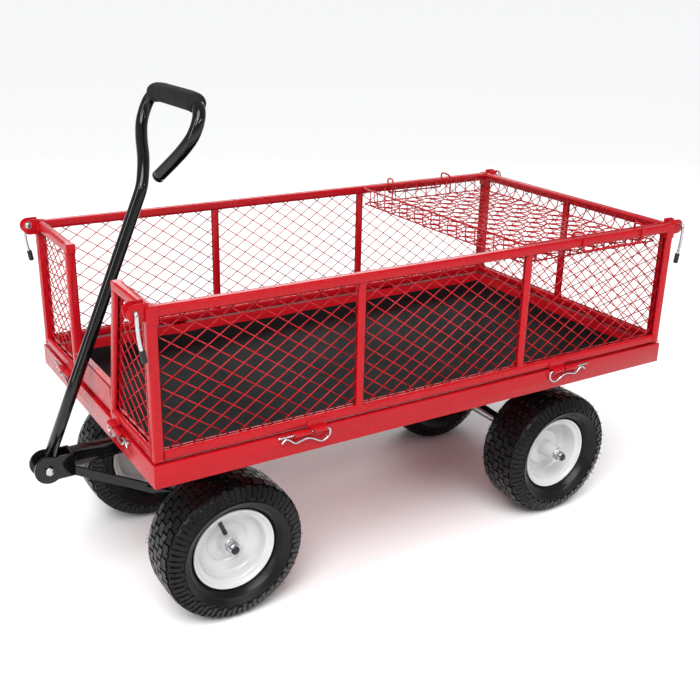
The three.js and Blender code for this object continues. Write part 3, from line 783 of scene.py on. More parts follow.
@dataclass
class Assembly:
    """A sub-assembly, which hands its finished pieces to the frame."""

    layout: Layout
    paints: dict[Slot, bpy.types.Material]

    def hand_over(
        self, obj: bpy.types.Object, name: str, body: str, slot: Slot, *replaced: str
    ) -> bpy.types.Object:
        """Finish a piece and fix it to its body.

        Args:
            obj: the piece.
            name: its name.
            body: the body that it moves with.
            slot: its material slot.
            replaced: the plain nodes that it stands for.

        Returns:
            The piece.
        """
        only(obj)
        bpy.ops.object.transform_apply(location=True, rotation=True, scale=True)
        obj.name = name
        obj.data.name = name
        obj.data.materials.clear()
        obj.data.materials.append(self.paints[slot])
        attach(obj, body)
        if replaced:
            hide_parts(*replaced)
        log.info("%s rides on %s: %d faces", name, body, len(obj.data.polygons))
        return obj

    def refined(self, node: str, rounding: float, segments: int = 2) -> bpy.types.Object:
        """Copy a plain node and round its edges.

        Args:
            node: the node.
            rounding: the radius of its edges in millimetres.
            segments: faces across a rounded edge.

        Returns:
            The rounded copy.
        """
        made = placed(f"{node}_refined", bpy.data.objects[node].data.copy())
        edit(
            made,
            lambda: bpy.ops.mesh.remove_doubles(threshold=2e-6),
            lambda: bpy.ops.mesh.dissolve_limited(angle_limit=math.radians(0.5)),
        )
        if rounding:
            soften(made, rounding * MM, segments, 34.0)
        return smooth(made)


# ------------------------------------------------------------------------------------------- panels
@dataclass
class Panel(Assembly):
    """What the four mesh panels share.

    A panel is drawn from along, out and up lengths: along the panel, out from the tray's middle, and up.
    """

    tube: SlottedTube = field(default_factory=SlottedTube)
    low: float = 446.5
    high: float = 724.0
    diamond_wide: float = 47.0
    diamond_tall: float = 32.2
    wire: float = 1.15
    post_foot: float = 454.5
    post_head: float = 716.0
    bay_foot: float = 456.5
    bay_head: float = 714.0
    bay_grow: float = 7.0
    setback: float = 3.0
    ear_z: float = 725.0
    ear_nose: float = 17.0
    ear_reach: float = 33.0

    def place(self, along: float, out: float, up: float) -> Vector:
        """Turn along, out and up millimetres into row metres."""
        raise NotImplementedError

    def rail(
        self, start: tuple[float, float], end: tuple[float, float], out: float, slot_to: tuple[float, float]
    ) -> bpy.types.Object:
        """Make a slotted tube in the panel's plane.

        Args:
            start: one end's (along, up).
            end: the other end's.
            out: how far out its middle lies.
            slot_to: a point in the panel's plane that the slot looks towards.

        Returns:
            The tube.
        """
        a, b = self.place(start[0], out, start[1]), self.place(end[0], out, end[1])
        return self.tube.between(a, b, self.place(slot_to[0], out, slot_to[1]) - a)

    def half_post(self, along: float, out: float, facing: int, z0: float, z1: float) -> bpy.types.Object:
        """Make one half of a split round post.

        Args:
            along: where the post stands.
            out: how far out the post's middle lies.
            facing: 1 for the outer half, -1 for the inner one.
            z0: its foot.
            z1: its top.

        Returns:
            The half post, a thin half shell.
        """
        radius, wall, gap = 9.5, 1.5, 1.9
        start = math.asin(gap / radius)
        arc = [start + (math.pi - 2 * start) * i / 16 for i in range(17)]
        outer = [(radius * math.cos(a), radius * math.sin(a)) for a in arc]
        inner = [((radius - wall) * math.cos(a), (radius - wall) * math.sin(a)) for a in reversed(arc)]
        outline = [self.place(along + u, out + facing * v, z0) for u, v in outer + inner]
        made = plate(outline, self.place(0, 0, z1) - self.place(0, 0, z0))
        return smooth(made)

    def infill(self, corners: Outline, out: float, shift: float = 0.0) -> list[bpy.types.Object]:
        """Fill an outline with welded wire diamonds.

        Args:
            corners: the outline's (along, up) corners, anticlockwise.
            out: how far out the mesh lies.
            shift: moves the pattern along.

        Returns:
            The wires of each way, and the welds.
        """
        rising, falling, crossings = wire_diamonds(corners, self.diamond_wide, self.diamond_tall, shift)
        layer = self.wire * 0.85
        made = []
        for lines, depth in ((rising, layer), (falling, -layer)):
            paths = [[self.place(x, out + depth, z) for x, z in line] for line in lines]
            made.append(wires(paths, self.wire * MM, 2))
        size = self.wire * 1.55 * MM
        return [*made, drops([(self.place(x, out, z), size) for x, z in crossings], 1)]

    def knuckle(self, loop_at: float, away: int, face: float) -> list[bpy.types.Object]:
        """Make the panel's half of a hinge.

        Args:
            loop_at: where the hinge's loop side is, along the panel.
            away: the sign of along from there to the hinge's free end.
            face: how far out the tray's face is.

        Returns:
            The roll, its strap and their welds.
        """
        length = 35.0
        roll_end = 30.0
        axis = face + PIN_OUT
        far = loop_at + away * length
        start = self.place(loop_at, axis, PIN_Z)
        roll = turned(
            [(3.0, 0.4), (3.4, 0.0), (5.1, 0.0), (5.5, 0.4), (5.5, roll_end - 0.4), (5.1, roll_end),
             (3.4, roll_end), (3.0, roll_end - 0.4)],
            start, (self.place(far, axis, PIN_Z) - start).normalized(), 28,
        )
        strap = block(
            self.place(loop_at, axis + 0.8, PIN_Z + 3.4),
            self.place(far, face - self.setback - 0.5, PIN_Z + 6.4), 0.7 * MM,
        )
        cheek = block(
            self.place(loop_at - away * 4, face - self.setback - 0.4, PIN_Z + 3.4),
            self.place(far + away * 4, face - self.setback + 2.4, PIN_Z + 21.0), 0.9 * MM,
        )
        top = PIN_Z + 21.4
        weld = bead(self.place(loop_at + away * 4, face - self.setback + 0.4, top),
                    self.place(far - away * 4, face - self.setback + 0.4, top), 1.5 * MM)
        return [roll, strap, cheek, weld]

    def ear_outline(self, root: float, panel_end: float) -> list[tuple[float, float]]:
        """Give the outline of a latch ear as (past the root, up) points, with its rounded nose."""
        nose = panel_end + self.ear_reach - self.ear_nose
        points = [(root, self.ear_z - self.ear_nose), (root, self.ear_z + self.ear_nose)]
        for i in range(13):
            a = math.pi / 2 - math.pi * i / 12
            points.append((nose + self.ear_nose * math.cos(a), self.ear_z + self.ear_nose * math.sin(a)))
        return points


@dataclass
class SidePanel(Panel):
    """A long side panel, with two split posts, capped corners, its mesh and its two latch levers."""

    side: Side = Side.RIGHT
    end: float = 657.0
    out: float = 342.0
    mesh_out: float = 341.0
    tray_face: float = 355.0
    posts: tuple[float, float] = (-215.0, 212.0)
    clip_at: float = 301.0

    def place(self, along: float, out: float, up: float) -> Vector:
        """Turn along, out and up millimetres into row metres."""
        return self.layout.at(along, self.side.value * out, up)

    def build(self) -> None:
        """Make the panel's frame, mesh and levers."""
        body = f"{self.side.word}_panel"
        frame = joined([*self._rails(), *self._posts(), *self._corners(), *self._hinges()])
        self.hand_over(frame, f"{body}_tubes", body, Slot.RED, f"{self.side.word}_side_frame")
        self.hand_over(joined(self._mesh()), f"{body}_wires", body, Slot.RED, f"{self.side.word}_side_mesh")
        for end in End:
            self._lever(end)

    def _rails(self) -> list[bpy.types.Object]:
        """Make the two long rails and the two end posts."""
        inner = self.end - 20
        return [
            self.rail((-inner, self.low), (inner, self.low), self.out, (-inner, self.high)),
            self.rail((-inner, self.high), (inner, self.high), self.out, (-inner, self.low)),
            *(
                self.rail((e * (self.end - 10), 436.5), (e * (self.end - 10), 734), self.out, (0, 436.5))
                for e in (-1, 1)
            ),
        ]

    def _posts(self) -> list[bpy.types.Object]:
        """Make the split middle posts with their welds."""
        made = []
        for x in self.posts:
            for facing in (1, -1):
                made.append(self.half_post(x, self.out, facing, self.post_foot, self.post_head))
                for z in (self.bay_foot, self.bay_head):
                    for u in (-8.2, 8.2):
                        out = self.out + facing * 4.6
                        made.append(bead(self.place(x + u, out - 1.5, z), self.place(x + u, out + 1.5, z)))
        return made

    def _corners(self) -> list[bpy.types.Object]:
        """Make the capped corners with the outer ears."""
        made = []
        for e in (-1, 1):
            x0, x1 = e * (self.end - 22), e * (self.end + 1.2)
            made.append(block(self.place(x0, 331.4, 699.5), self.place(x1, 353.2, 735.4), 2.2 * MM, 3))
            outline = [self.place(e * x, 344.8, z) for x, z in self.ear_outline(self.end - 6, self.end)]
            made.append(smooth(plate(outline, self.place(0, 3, 0) - self.place(0, 0, 0), 0.8 * MM)))
            foot = self.place(e * (self.end - 1), 353, 437.5)
            made.append(bead(foot, self.place(e * (self.end - 1), 351, 437.5)))
            inner = e * (self.end - 20)
            made.append(bead(self.place(inner, 352, 439), self.place(inner, 352, 454), 1.1 * MM))
        return made

    def _hinges(self) -> list[bpy.types.Object]:
        """Make the panel's two knuckles."""
        return [
            piece for e in (-1, 1) for piece in self.knuckle(e * self.clip_at, e, self.tray_face)
        ]

    def _mesh(self) -> list[bpy.types.Object]:
        """Make the mesh of the three bays."""
        grow = self.bay_grow
        z0, z1 = self.bay_foot - grow, self.bay_head + grow
        edges = [-self.end + 20, *self.posts, self.end - 20]
        made = []
        for i, (x0, x1) in enumerate(zip(edges, edges[1:])):
            low = x0 - (grow if i == 0 else -2.5)
            high = x1 + (grow if i == 2 else -2.5)
            made += self.infill([(low, z0), (high, z0), (high, z1), (low, z1)], self.mesh_out, low + 9)
        return made

    def _lever(self, end: End) -> None:
        """Make a latch lever: the rod through the ear, bent down into a hanging grip."""
        e = end.value
        x = e * (self.end + 20)
        face = 353.0
        way = [(0, 331.9, 0), (0, face + 2.5, 0), (0, face + 5.6, -1.6), (0, face + 7, -6),
               (0, face + 7.2, -20), (-1, face + 7.1, -40), (-3, face + 7, -56), (-6.5, face + 7, -76)]
        rod_path = rounded([self.place(x + e * u, out, 730 + z) for u, out, z in way], 5)
        rod = wires([rod_path], 3.55 * MM, 4)
        grip = turned(
            [(3.6, 0.5), (4.6, 0.0), (5.3, 0.8), (5.6, 3.0), (5.6, 20.0), (5.2, 22.6), (3.8, 24.0),
             (1.0, 24.4), (1.0, 22.0), (3.6, 21.0)],
            self.place(x - e * 5.6, face + 7, 662.5),
            (self.place(-e * 3.6, 0.3, -22) - self.place(0, 0, 0)).normalized(), 28,
        )
        body = f"{self.side.word}_{end.word}_latch"
        self.hand_over(rod, f"{body}_rod", body, Slot.ZINC, f"{body}_lever")
        self.hand_over(grip, f"{body}_grip", body, Slot.PLASTIC)


@dataclass
class EndPanel(Panel):
    """A panel across one end of the cart, with slim end strips and the inner latch ears."""

    end: End = End.REAR
    half: float = 331.0
    strip: float = 4.0
    out: float = 647.0
    mesh_out: float = 645.9
    tray_face: float = 660.0
    clip_at: float = 130.0
    inner_ear: float = 322.0
    notch: float = 108.0
    lean: float = 63.0
    plate_top: float = 496.0

    def place(self, along: float, out: float, up: float) -> Vector:
        """Turn along, out and up millimetres into row metres."""
        return self.layout.at(self.end.value * out, along, up)

    def lean_at(self, z: float) -> float:
        """Give the distance from the middle to the leaning post's inner edge at a height."""
        return self.notch + self.lean * (z - self.bay_foot) / (734 - self.bay_foot)

    def build(self) -> None:
        """Make the panel's frame, mesh and latch screws."""
        body = "root" if self.end is End.FRONT else "rear_panel"
        parts = self._notched() if self.end is End.FRONT else self._plain()
        frame = joined([*parts, *self._strips_and_ears(), *self._hinges()])
        self.hand_over(frame, f"{self.end.word}_panel_tubes", body, Slot.RED, f"{self.end.word}_frame")
        self._mesh(body)
        for side in Side:
            self._screw(side, body)

    def _plain(self) -> list[bpy.types.Object]:
        """Make the rear panel's rails and middle post."""
        reach = self.half - self.strip
        return [
            self.rail((-reach, self.low), (reach, self.low), self.out, (-reach, self.high)),
            self.rail((-reach, self.high), (reach, self.high), self.out, (-reach, self.low)),
            *(self.half_post(0, self.out, facing, self.post_foot, self.post_head) for facing in (1, -1)),
        ]

    def _notched(self) -> list[bpy.types.Object]:
        """Make the front panel's two wings and the low plate between them."""
        at = self.place
        reach = self.half - self.strip
        made = []
        for s, top in ((1, self.notch), (-1, self.notch + self.lean)):
            foot, head, wing = s * (self.notch + 10), s * (top + 10), s * (self.notch + 20)
            corner, far = s * (top - 1), s * reach
            made += [
                self.rail((wing, self.low), (far, self.low), self.out, (wing, self.high)),
                self.rail((corner, self.high), (far, self.high), self.out, (corner, self.low)),
                self.rail((foot, 436.5), (head - (head - foot) * 0.05, 715), self.out, (far, 436.5)),
                bead(at(wing, 657, 456), at(wing, 657, 439), 1.1 * MM),
                bead(at(s * (top + 2), 657, 714), at(s * (top + 18), 657, 714), 1.1 * MM),
                block(at(s * (top - 2.2), 636.9, 713.2), at(s * (top + 19), 657.1, 734.1), 2.0 * MM, 3),
            ]
        face, lip = 653.0, self.plate_top
        sheets = (
            (face - 2.2, 437, face, lip, 0.9),
            (637.5, lip - 2.4, face, lip, 0.9),
            (face - 0.4, lip - 5, face + 1.4, lip - 0.2, 0.9),
            (637.5, 437, face, 439.5, 0.8),
        )
        for out0, z0, out1, z1, round_off in sheets:
            made.append(block(at(-self.notch, out0, z0), at(self.notch, out1, z1), round_off * MM))
        for s in (-1, 1):
            seam = s * (self.notch - 0.6)
            made.append(bead(at(seam, face, 440), at(seam, face, lip - 6), 1.2 * MM))
        return made

    def _strips_and_ears(self) -> list[bpy.types.Object]:
        """Make the slim end strips and the inner latch ears."""
        at = self.place
        made = []
        for s in (-1, 1):
            inner, outer = s * (self.half - self.strip), s * self.half
            made.append(block(at(inner, 638, 436.8), at(outer, 656.6, 733.8), 0.9 * MM))
            outline = [at(s * self.inner_ear, x, z) for x, z in self.ear_outline(651, 657)]
            made.append(smooth(plate(outline, at(s * 3, 0, 0) - at(0, 0, 0), 0.8 * MM)))
            seam = s * (self.inner_ear - 0.5)
            made.append(bead(at(seam, 657, 710), at(seam, 657, 733), 1.3 * MM))
        return made

    def _hinges(self) -> list[bpy.types.Object]:
        """Make the panel's two knuckles."""
        return [
            piece for s in (-1, 1) for piece in self.knuckle(s * self.clip_at, s, self.tray_face)
        ]

    def _mesh(self, body: str) -> None:
        """Make the panel's mesh."""
        grow = self.bay_grow
        low, high = self.bay_foot - grow, self.bay_head + grow
        edge = self.half - self.strip - 0.5
        if self.end is End.REAR:
            made = []
            for x0, x1 in ((-edge, -2.5), (2.5, edge)):
                made += self.infill([(x0, low), (x1, low), (x1, high), (x0, high)], self.mesh_out, x0 + 14)
            self.hand_over(joined(made), "rear_panel_wires", body, Slot.RED, "rear_mesh")
            return
        inner = self.notch + 20 - grow
        left = [(inner, low), (edge, low), (edge, high), (inner, high)]
        foot, head = self.lean_at(low) + 20 - grow, self.lean_at(high) + 20 - grow
        right = [(-edge, low), (-foot, low), (-head, high), (-edge, high)]
        for side, corners in ((Side.LEFT, left), (Side.RIGHT, right)):
            made = joined(self.infill(corners, self.mesh_out, corners[0][0] + 20))
            self.hand_over(made, f"front_{side.word}_wires", body, Slot.RED, f"front_{side.word}_mesh")

    def _screw(self, side: Side, body: str) -> None:
        """Make the latch screw, with its cross recess."""
        s = side.value
        start = self.place(s * (self.inner_ear - 0.2), self.out + 30, 730)
        axis = Vector((0, -s, 0))
        head = turned(
            [(0.9, -9.0), (3.3, -9.0), (3.3, -0.2), (6.2, -0.2), (6.4, 0.4), (6.0, 1.6), (5.0, 2.6),
             (3.4, 3.2), (0.9, 3.45), (0.9, 2.2)],
            start, axis, 32,
        )
        core = bar(start - axis * 8 * MM, start + axis * 2.3 * MM, 1.2 * MM, 12)
        level, rise = Vector((1, 0, 0)), Vector((0, 0, 1))
        wings = [
            plate(
                [start + axis * 3.3 * MM + across * u * MM + other * v * MM
                 for u, v in ((-2.9, -0.45), (2.9, -0.45), (2.9, 0.45), (-2.9, 0.45))],
                axis * 0.25 * MM,
            )
            for across, other in ((level, rise), (rise, level))
        ]
        washer = turned([(3.4, -0.1), (8.2, -0.1), (8.4, 0.1), (8.2, 0.5), (3.4, 0.5)], start, axis, 32)
        name = f"{self.end.word}_{side.word}_latch_screw"
        self.hand_over(joined([head, core, washer, *wings]), f"{name}_head", body, Slot.ZINC, name)


# ---------------------------------------------------------------------------------------------- tray
@dataclass
class Tray(Assembly):
    """The tray: rim, deck, liner and the spring clips that close its hinges."""

    half_x: float = 660.0
    half_y: float = 355.0
    rail: float = 25.0
    wire: float = 2.05
    clip_wave: tuple[tuple[float, float], ...] = (
        (109, 0.3), (80, 0), (40, 0), (8, 0), (-2, -0.4), (-7, -4), (-8.3, -10.5), (-6, -17.5), (0, -23.2),
        (9, -26), (18, -23.4), (28, -17.6), (38, -13.4), (48, -12.8), (58, -15), (67, -17.2), (74, -15.6),
        (82, -9), (89, -4.9), (94, -6.2), (101, -12),
    )

    def build(self) -> None:
        """Make the tray's pieces."""
        rim = joined([self.refined("bed_frame", 1.1), *self._seams()])
        self.hand_over(rim, "tray_rim", "root", Slot.RED, "bed_frame")
        self.hand_over(self.refined("deck_sheet", 0.4), "tray_deck", "root", Slot.RED, "deck_sheet")
        self._liner()
        for side in Side:
            for end in End:
                e, s = end.value, side.value
                pin_x, pin_y = e * (self.half_x + PIN_OUT), s * (self.half_y + PIN_OUT)
                self._clip(f"{side.word}_{end.word}_clip",
                           [(e * (301 + u), pin_y, v) for u, v in self.clip_wave])
                self._clip(f"{end.word}_panel_{side.word}_clip",
                           [(pin_x, s * (130 + u), v) for u, v in self.clip_wave])

    def _seams(self) -> list[bpy.types.Object]:
        """Make the weld seams at the rim's corners and under the tray's knuckles."""
        at = self.layout.at
        made = []
        for sx in (-1, 1):
            for sy in (-1, 1):
                corner = [at(sx * (self.half_x - 1.3), sy * (self.half_y - 1.3), z) for z in (387, 430)]
                made.append(bead(*corner, 1.5 * MM))
                lip = self.rail + 0.4
                inner = [at(sx * (self.half_x - lip), sy * (self.half_y - lip), z) for z in (398, 430)]
                made.append(bead(*inner, 1.6 * MM))
                x, y, z = sx * (self.half_x + 1.2), sy * (self.half_y + 1.2), 407.6
                for u0, u1 in ((337, 346), (364, 373)):
                    made.append(bead(at(sx * u0, y, z), at(sx * u1, y, z), 1.4 * MM))
                for u0, u1 in ((167, 176), (194, 203)):
                    made.append(bead(at(x, sy * u0, z), at(x, sy * u1, z), 1.4 * MM))
        return made

    def _liner(self) -> None:
        """Make the liner: a heavy sheet laid on the deck, softly wrinkled, with its edges curling up."""
        half_x, half_y = self.half_x - self.rail - 1.6, self.half_y - self.rail - 1.6
        bpy.ops.mesh.primitive_grid_add(x_subdivisions=168, y_subdivisions=90, size=2.0, location=(0, 0, 0))
        made = bpy.context.active_object
        for vertex in made.data.vertices:
            u, v = vertex.co.x, vertex.co.y
            x, y = u * half_x, v * half_y
            edge = min(half_x - abs(x), half_y - abs(y))
            low = noise.noise(Vector((x / 150, y / 110, 3.0)))
            ripple = noise.noise(Vector((x / 60, y / 190, 8.0)))
            near = max(0.0, 1 - edge / 60)
            lift = 0.9 + 0.9 * low + 0.5 * ripple
            curl = 17.0 * near ** 2.6 + 3.5 * near * noise.noise(Vector((x / 85, y / 85, 12.0)))
            vertex.co = self.layout.at(x, y, 391.2 + max(0.0, lift) + max(0.0, curl))
        only(made)
        solid = made.modifiers.new("thickness", "SOLIDIFY")
        solid.thickness = 2.2 * MM
        solid.offset = 1.0
        bpy.ops.object.modifier_apply(modifier=solid.name)
        smooth(made, math.pi / 3)
        self.hand_over(made, "liner_sheet", "root", Slot.LINER, "bed_liner")

    def _clip(self, name: str, places: Sequence[Triple]) -> None:
        """Make a spring clip: a straight leg through the hinge, a loop, and a wavy leg back to it.

        Args:
            name: the node that it stands for.
            places: the points of the clip, with their heights counted from the pin.
        """
        points = [self.layout.at(x, y, PIN_Z + up) for x, y, up in places]
        wire = wires([rounded(points, 5)], self.wire * MM, 4)
        self.hand_over(wire, f"{name}_wire", "root", Slot.ZINC, name)


# -------------------------------------------------------------------------------------------- basket
@dataclass
class Basket(Assembly):
    """The lift-off basket, bent from wire mesh, with a hanger over each side panel."""

    front: float = 213.5
    rear: float = 630.5
    half: float = 324.5
    bottom: float = 690.0
    top: float = 731.0
    mesh_wire: float = 1.5
    rim_wire: float = 2.3
    wave: float = 7.5
    upright_pitch: float = 34.8
    near_hooks: tuple[float, float] = (361.0, 545.0)
    far_hooks: tuple[float, float] = (313.0, 497.0)

    def build(self) -> None:
        """Make the whole basket."""
        parts = [*self._rims(), self._floor(), self._uprights(), self._hooks()]
        self.hand_over(joined(parts), "wire_basket", "basket", Slot.RED, "basket")

    def _ring(self, inset: float, z: float, radius: float) -> bpy.types.Object:
        """Make a wire ring round the basket."""
        x0, x1, y1 = self.front + inset, self.rear - inset, self.half - inset
        corner = 9.0
        path = []
        corners = ((x1 - corner, y1 - corner, 0), (x0 + corner, y1 - corner, 1),
                   (x0 + corner, -y1 + corner, 2), (x1 - corner, -y1 + corner, 3))
        for cx, cy, turn in corners:
            for i in range(7):
                a = math.pi / 2 * (turn + i / 6)
                path.append(self.layout.at(cx + corner * math.cos(a), cy + corner * math.sin(a), z))
        return wires([path], radius * MM, 3, closed=True)

    def _rims(self) -> list[bpy.types.Object]:
        """Make the rim wire and the wire round the floor."""
        return [self._ring(0, self.top, self.rim_wire), self._ring(1.5, self.bottom, self.mesh_wire + 0.3)]

    def _floor(self) -> bpy.types.Object:
        """Make the floor of waved wires, which cross on a square grid and bow out round every other cell."""
        at = self.layout.at
        long, wide = self.rear - self.front, 2 * self.half
        along, across = round(long / self.upright_pitch), round(wide / self.upright_pitch)
        pitch_x, pitch_y = long / along, wide / across
        rest = 6
        lower = self.bottom - 2.6
        paths = []
        for i in range(1, across):
            y, sway = i * pitch_y - self.half, -self.wave * (-1) ** i
            steps = [k / rest for k in range(along * rest + 1)]
            paths.append(
                [at(self.front + t * pitch_x, y + sway * math.sin(math.pi * t), self.bottom) for t in steps]
            )
        for j in range(1, along):
            x, sway = self.front + j * pitch_x, -self.wave * (-1) ** j
            steps = [k / rest for k in range(across * rest + 1)]
            paths.append(
                [at(x + sway * math.sin(math.pi * t), t * pitch_y - self.half, lower) for t in steps]
            )
        return wires(paths, self.mesh_wire * MM, 2)

    def _upright(self, top: Triple, inward: Triple, bend: float) -> list[Vector]:
        """Give the path of an upright that bends into the floor.

        Args:
            top: its top.
            inward: the way into the basket, of length 1.
            bend: the radius of its bend.

        Returns:
            The path.
        """
        at = self.layout.at
        path = [at(*top)]
        for i in range(7):
            a = math.pi / 2 * i / 6
            run, rise = bend * (1 - math.cos(a)), bend * (1 - math.sin(a))
            path.append(at(top[0] + inward[0] * run, top[1] + inward[1] * run, self.bottom + rise))
        return path

    def _uprights(self) -> bpy.types.Object:
        """Make the uprights all round, bent inwards at the floor."""
        paths = []
        along = round((self.rear - self.front) / self.upright_pitch)
        across = round(2 * self.half / self.upright_pitch)
        for i in range(1, along):
            x = self.front + (self.rear - self.front) * i / along
            for s in (-1, 1):
                paths.append(self._upright((x, s * self.half, self.top), (0, -s, 0), 9))
        for i in range(1, across):
            y = -self.half + 2 * self.half * i / across
            paths.append(self._upright((self.front, y, self.top), (1, 0, 0), 9))
            paths.append(self._upright((self.rear, y, self.top), (-1, 0, 0), 24))
        return wires(paths, self.mesh_wire * MM, 2)

    def _hooks(self) -> bpy.types.Object:
        """Make the two hangers: each passes over a side panel's top rail twice and runs along outside it."""
        paths = []
        over, under = 744.6, 706.0
        for s, (front, rear) in ((-1, self.near_hooks), (1, self.far_hooks)):
            legs = []
            for x, way in ((front, 1), (rear, -1)):
                leg = [(x - 7 * way, 322, 692), (x - 7 * way, 322, 728), (x - 4 * way, 326, 741),
                       (x, 338, over), (x, 350, over), (x, 355.6, 739), (x, 356.2, 722), (x, 355.6, 712)]
                legs.append(leg)
            outside = [(front + 5, 354.5, under), (front + 14, 354, under - 1.5),
                       (rear - 14, 354, under - 1.5), (rear - 5, 354.5, under)]
            points = legs[0] + outside + legs[1][::-1]
            paths.append(rounded([self.layout.at(px, s * py, pz) for px, py, pz in points], 5, 0.35))
        return wires(paths, self.rim_wire * MM, 3)


# -------------------------------------------------------------------------------------------- wheels
@dataclass(frozen=True)
class TreadPattern:
    """The tyre's tread: rows of stepped blocks that lock into each other, and lugs over the shoulders."""

    radius: float = 157.0
    pitches: int = 34
    rows: int = 5
    block: float = 16.2
    groove: float = 3.4
    step: float = 4.2
    depth: float = 6.0
    lug_depth: float = 3.2
    lugs: int = 70
    lug_width: float = 0.87

    def crown(self, s: float) -> tuple[float, float]:
        """Give the (radius, across) place on the tyre's skin, a distance from its middle along the skin."""
        table = ((0, 157, 0), (30, 156.8, 30), (40, 155.9, 40), (50, 153.2, 49.6), (58, 149.2, 56.4),
                 (66, 143.6, 62), (74, 136.6, 65.4), (82, 128.8, 66.3), (96, 114.9, 65.2))
        a = min(abs(s), 95.9)
        for (s0, r0, y0), (s1, r1, y1) in zip(table, table[1:]):
            if a <= s1:
                t = (a - s0) / (s1 - s0)
                return r0 + (r1 - r0) * t, math.copysign(y0 + (y1 - y0) * t, s)
        return table[-1][1], math.copysign(table[-1][2], s)

    def point(self, around: float, s: float, sink: float) -> Vector:
        """Give a point on or under the skin, for a wheel whose middle is the origin.

        Args:
            around: the distance round the tread.
            s: the distance from the middle along the skin.
            sink: how far under the skin.

        Returns:
            The point in metres.
        """
        r0, y0 = self.crown(s - 0.5)
        r1, y1 = self.crown(s + 0.5)
        r, y = (r0 + r1) / 2, (y0 + y1) / 2
        way = Vector((r1 - r0, y1 - y0)).normalized()
        r, y = r - sink * way.y, y + sink * way.x
        angle = around / self.radius
        return Vector((r * math.cos(angle), y, r * math.sin(angle))) * MM

    def blocks(self) -> Iterable[Outline]:
        """Give the outline of each block as (around, s) points."""
        pitch = 2 * math.pi * self.radius / self.pitches
        band = self.block + self.groove
        low = -(self.rows * band - self.groove + self.step) / 2
        half = pitch / 2
        g = self.groove / 2
        for row in range(self.rows):
            s0 = low + row * band
            for i in range(self.pitches):
                start = i * pitch + (half if row % 2 else 0)
                c0, c1, end = start + g, start + half, start + pitch - g
                near, far = (0.0, self.step) if row % 2 == 0 else (self.step, 0.0)
                bottom = [(c0, s0 + near), (c1 - 1.5, s0 + near), (c1 + 1.5, s0 + far), (end, s0 + far)]
                top = [(end, s0 + far + self.block), (c1 + 3.2, s0 + far + self.block),
                       (c1 + 2.4, s0 + far + self.block - 4.5), (c1 + 0.6, s0 + far + self.block - 4.5),
                       (c1 - 0.4, s0 + (near + far) / 2 + self.block), (c0, s0 + near + self.block)]
                yield bottom + top
        lug = 2 * math.pi * self.radius / self.lugs
        inner = (self.rows * band - self.groove + self.step) / 2 + self.groove
        for side in (-1, 1):
            for i in range(self.lugs):
                a, b = i * lug, i * lug + lug * self.lug_width
                edge = inner + (0 if i % 2 else 5)
                outer = 89.0 if i % 2 else 84.0
                line = [(a, edge), (b, edge), (b, 66), (b - 0.4, outer), (a + 0.4, outer), (a, 66)]
                yield [(c, side * s) for c, s in (line if side > 0 else reversed(line))]

    def build(self) -> bpy.types.Object:
        """Make all the blocks and lugs as one mesh."""
        points: list[Vector] = []
        faces: list[list[int]] = []
        for outline in self.blocks():
            first, count = len(points), len(outline)
            tall = self.depth if count > 6 else self.lug_depth
            middle_c = sum(c for c, _ in outline) / count
            middle_s = sum(s for _, s in outline) / count
            for sink, shrink in ((tall + 1.5, 0.0), (0.7, 0.0), (0.0, 0.055)):
                for c, s in outline:
                    points.append(self.point(c + (middle_c - c) * shrink, s + (middle_s - s) * shrink, sink))
            for ring in (0, 1):
                for i in range(count):
                    j = (i + 1) % count
                    base = first + ring * count
                    faces.append([base + i, base + j, base + count + j, base + count + i])
            faces.append([first + 2 * count + i for i in range(count)])
            faces.append([first + i for i in reversed(range(count))])
        made = loose_mesh(points, faces)
        edit(made, lambda: bpy.ops.mesh.normals_make_consistent(inside=False))
        return smooth(made, math.radians(28))


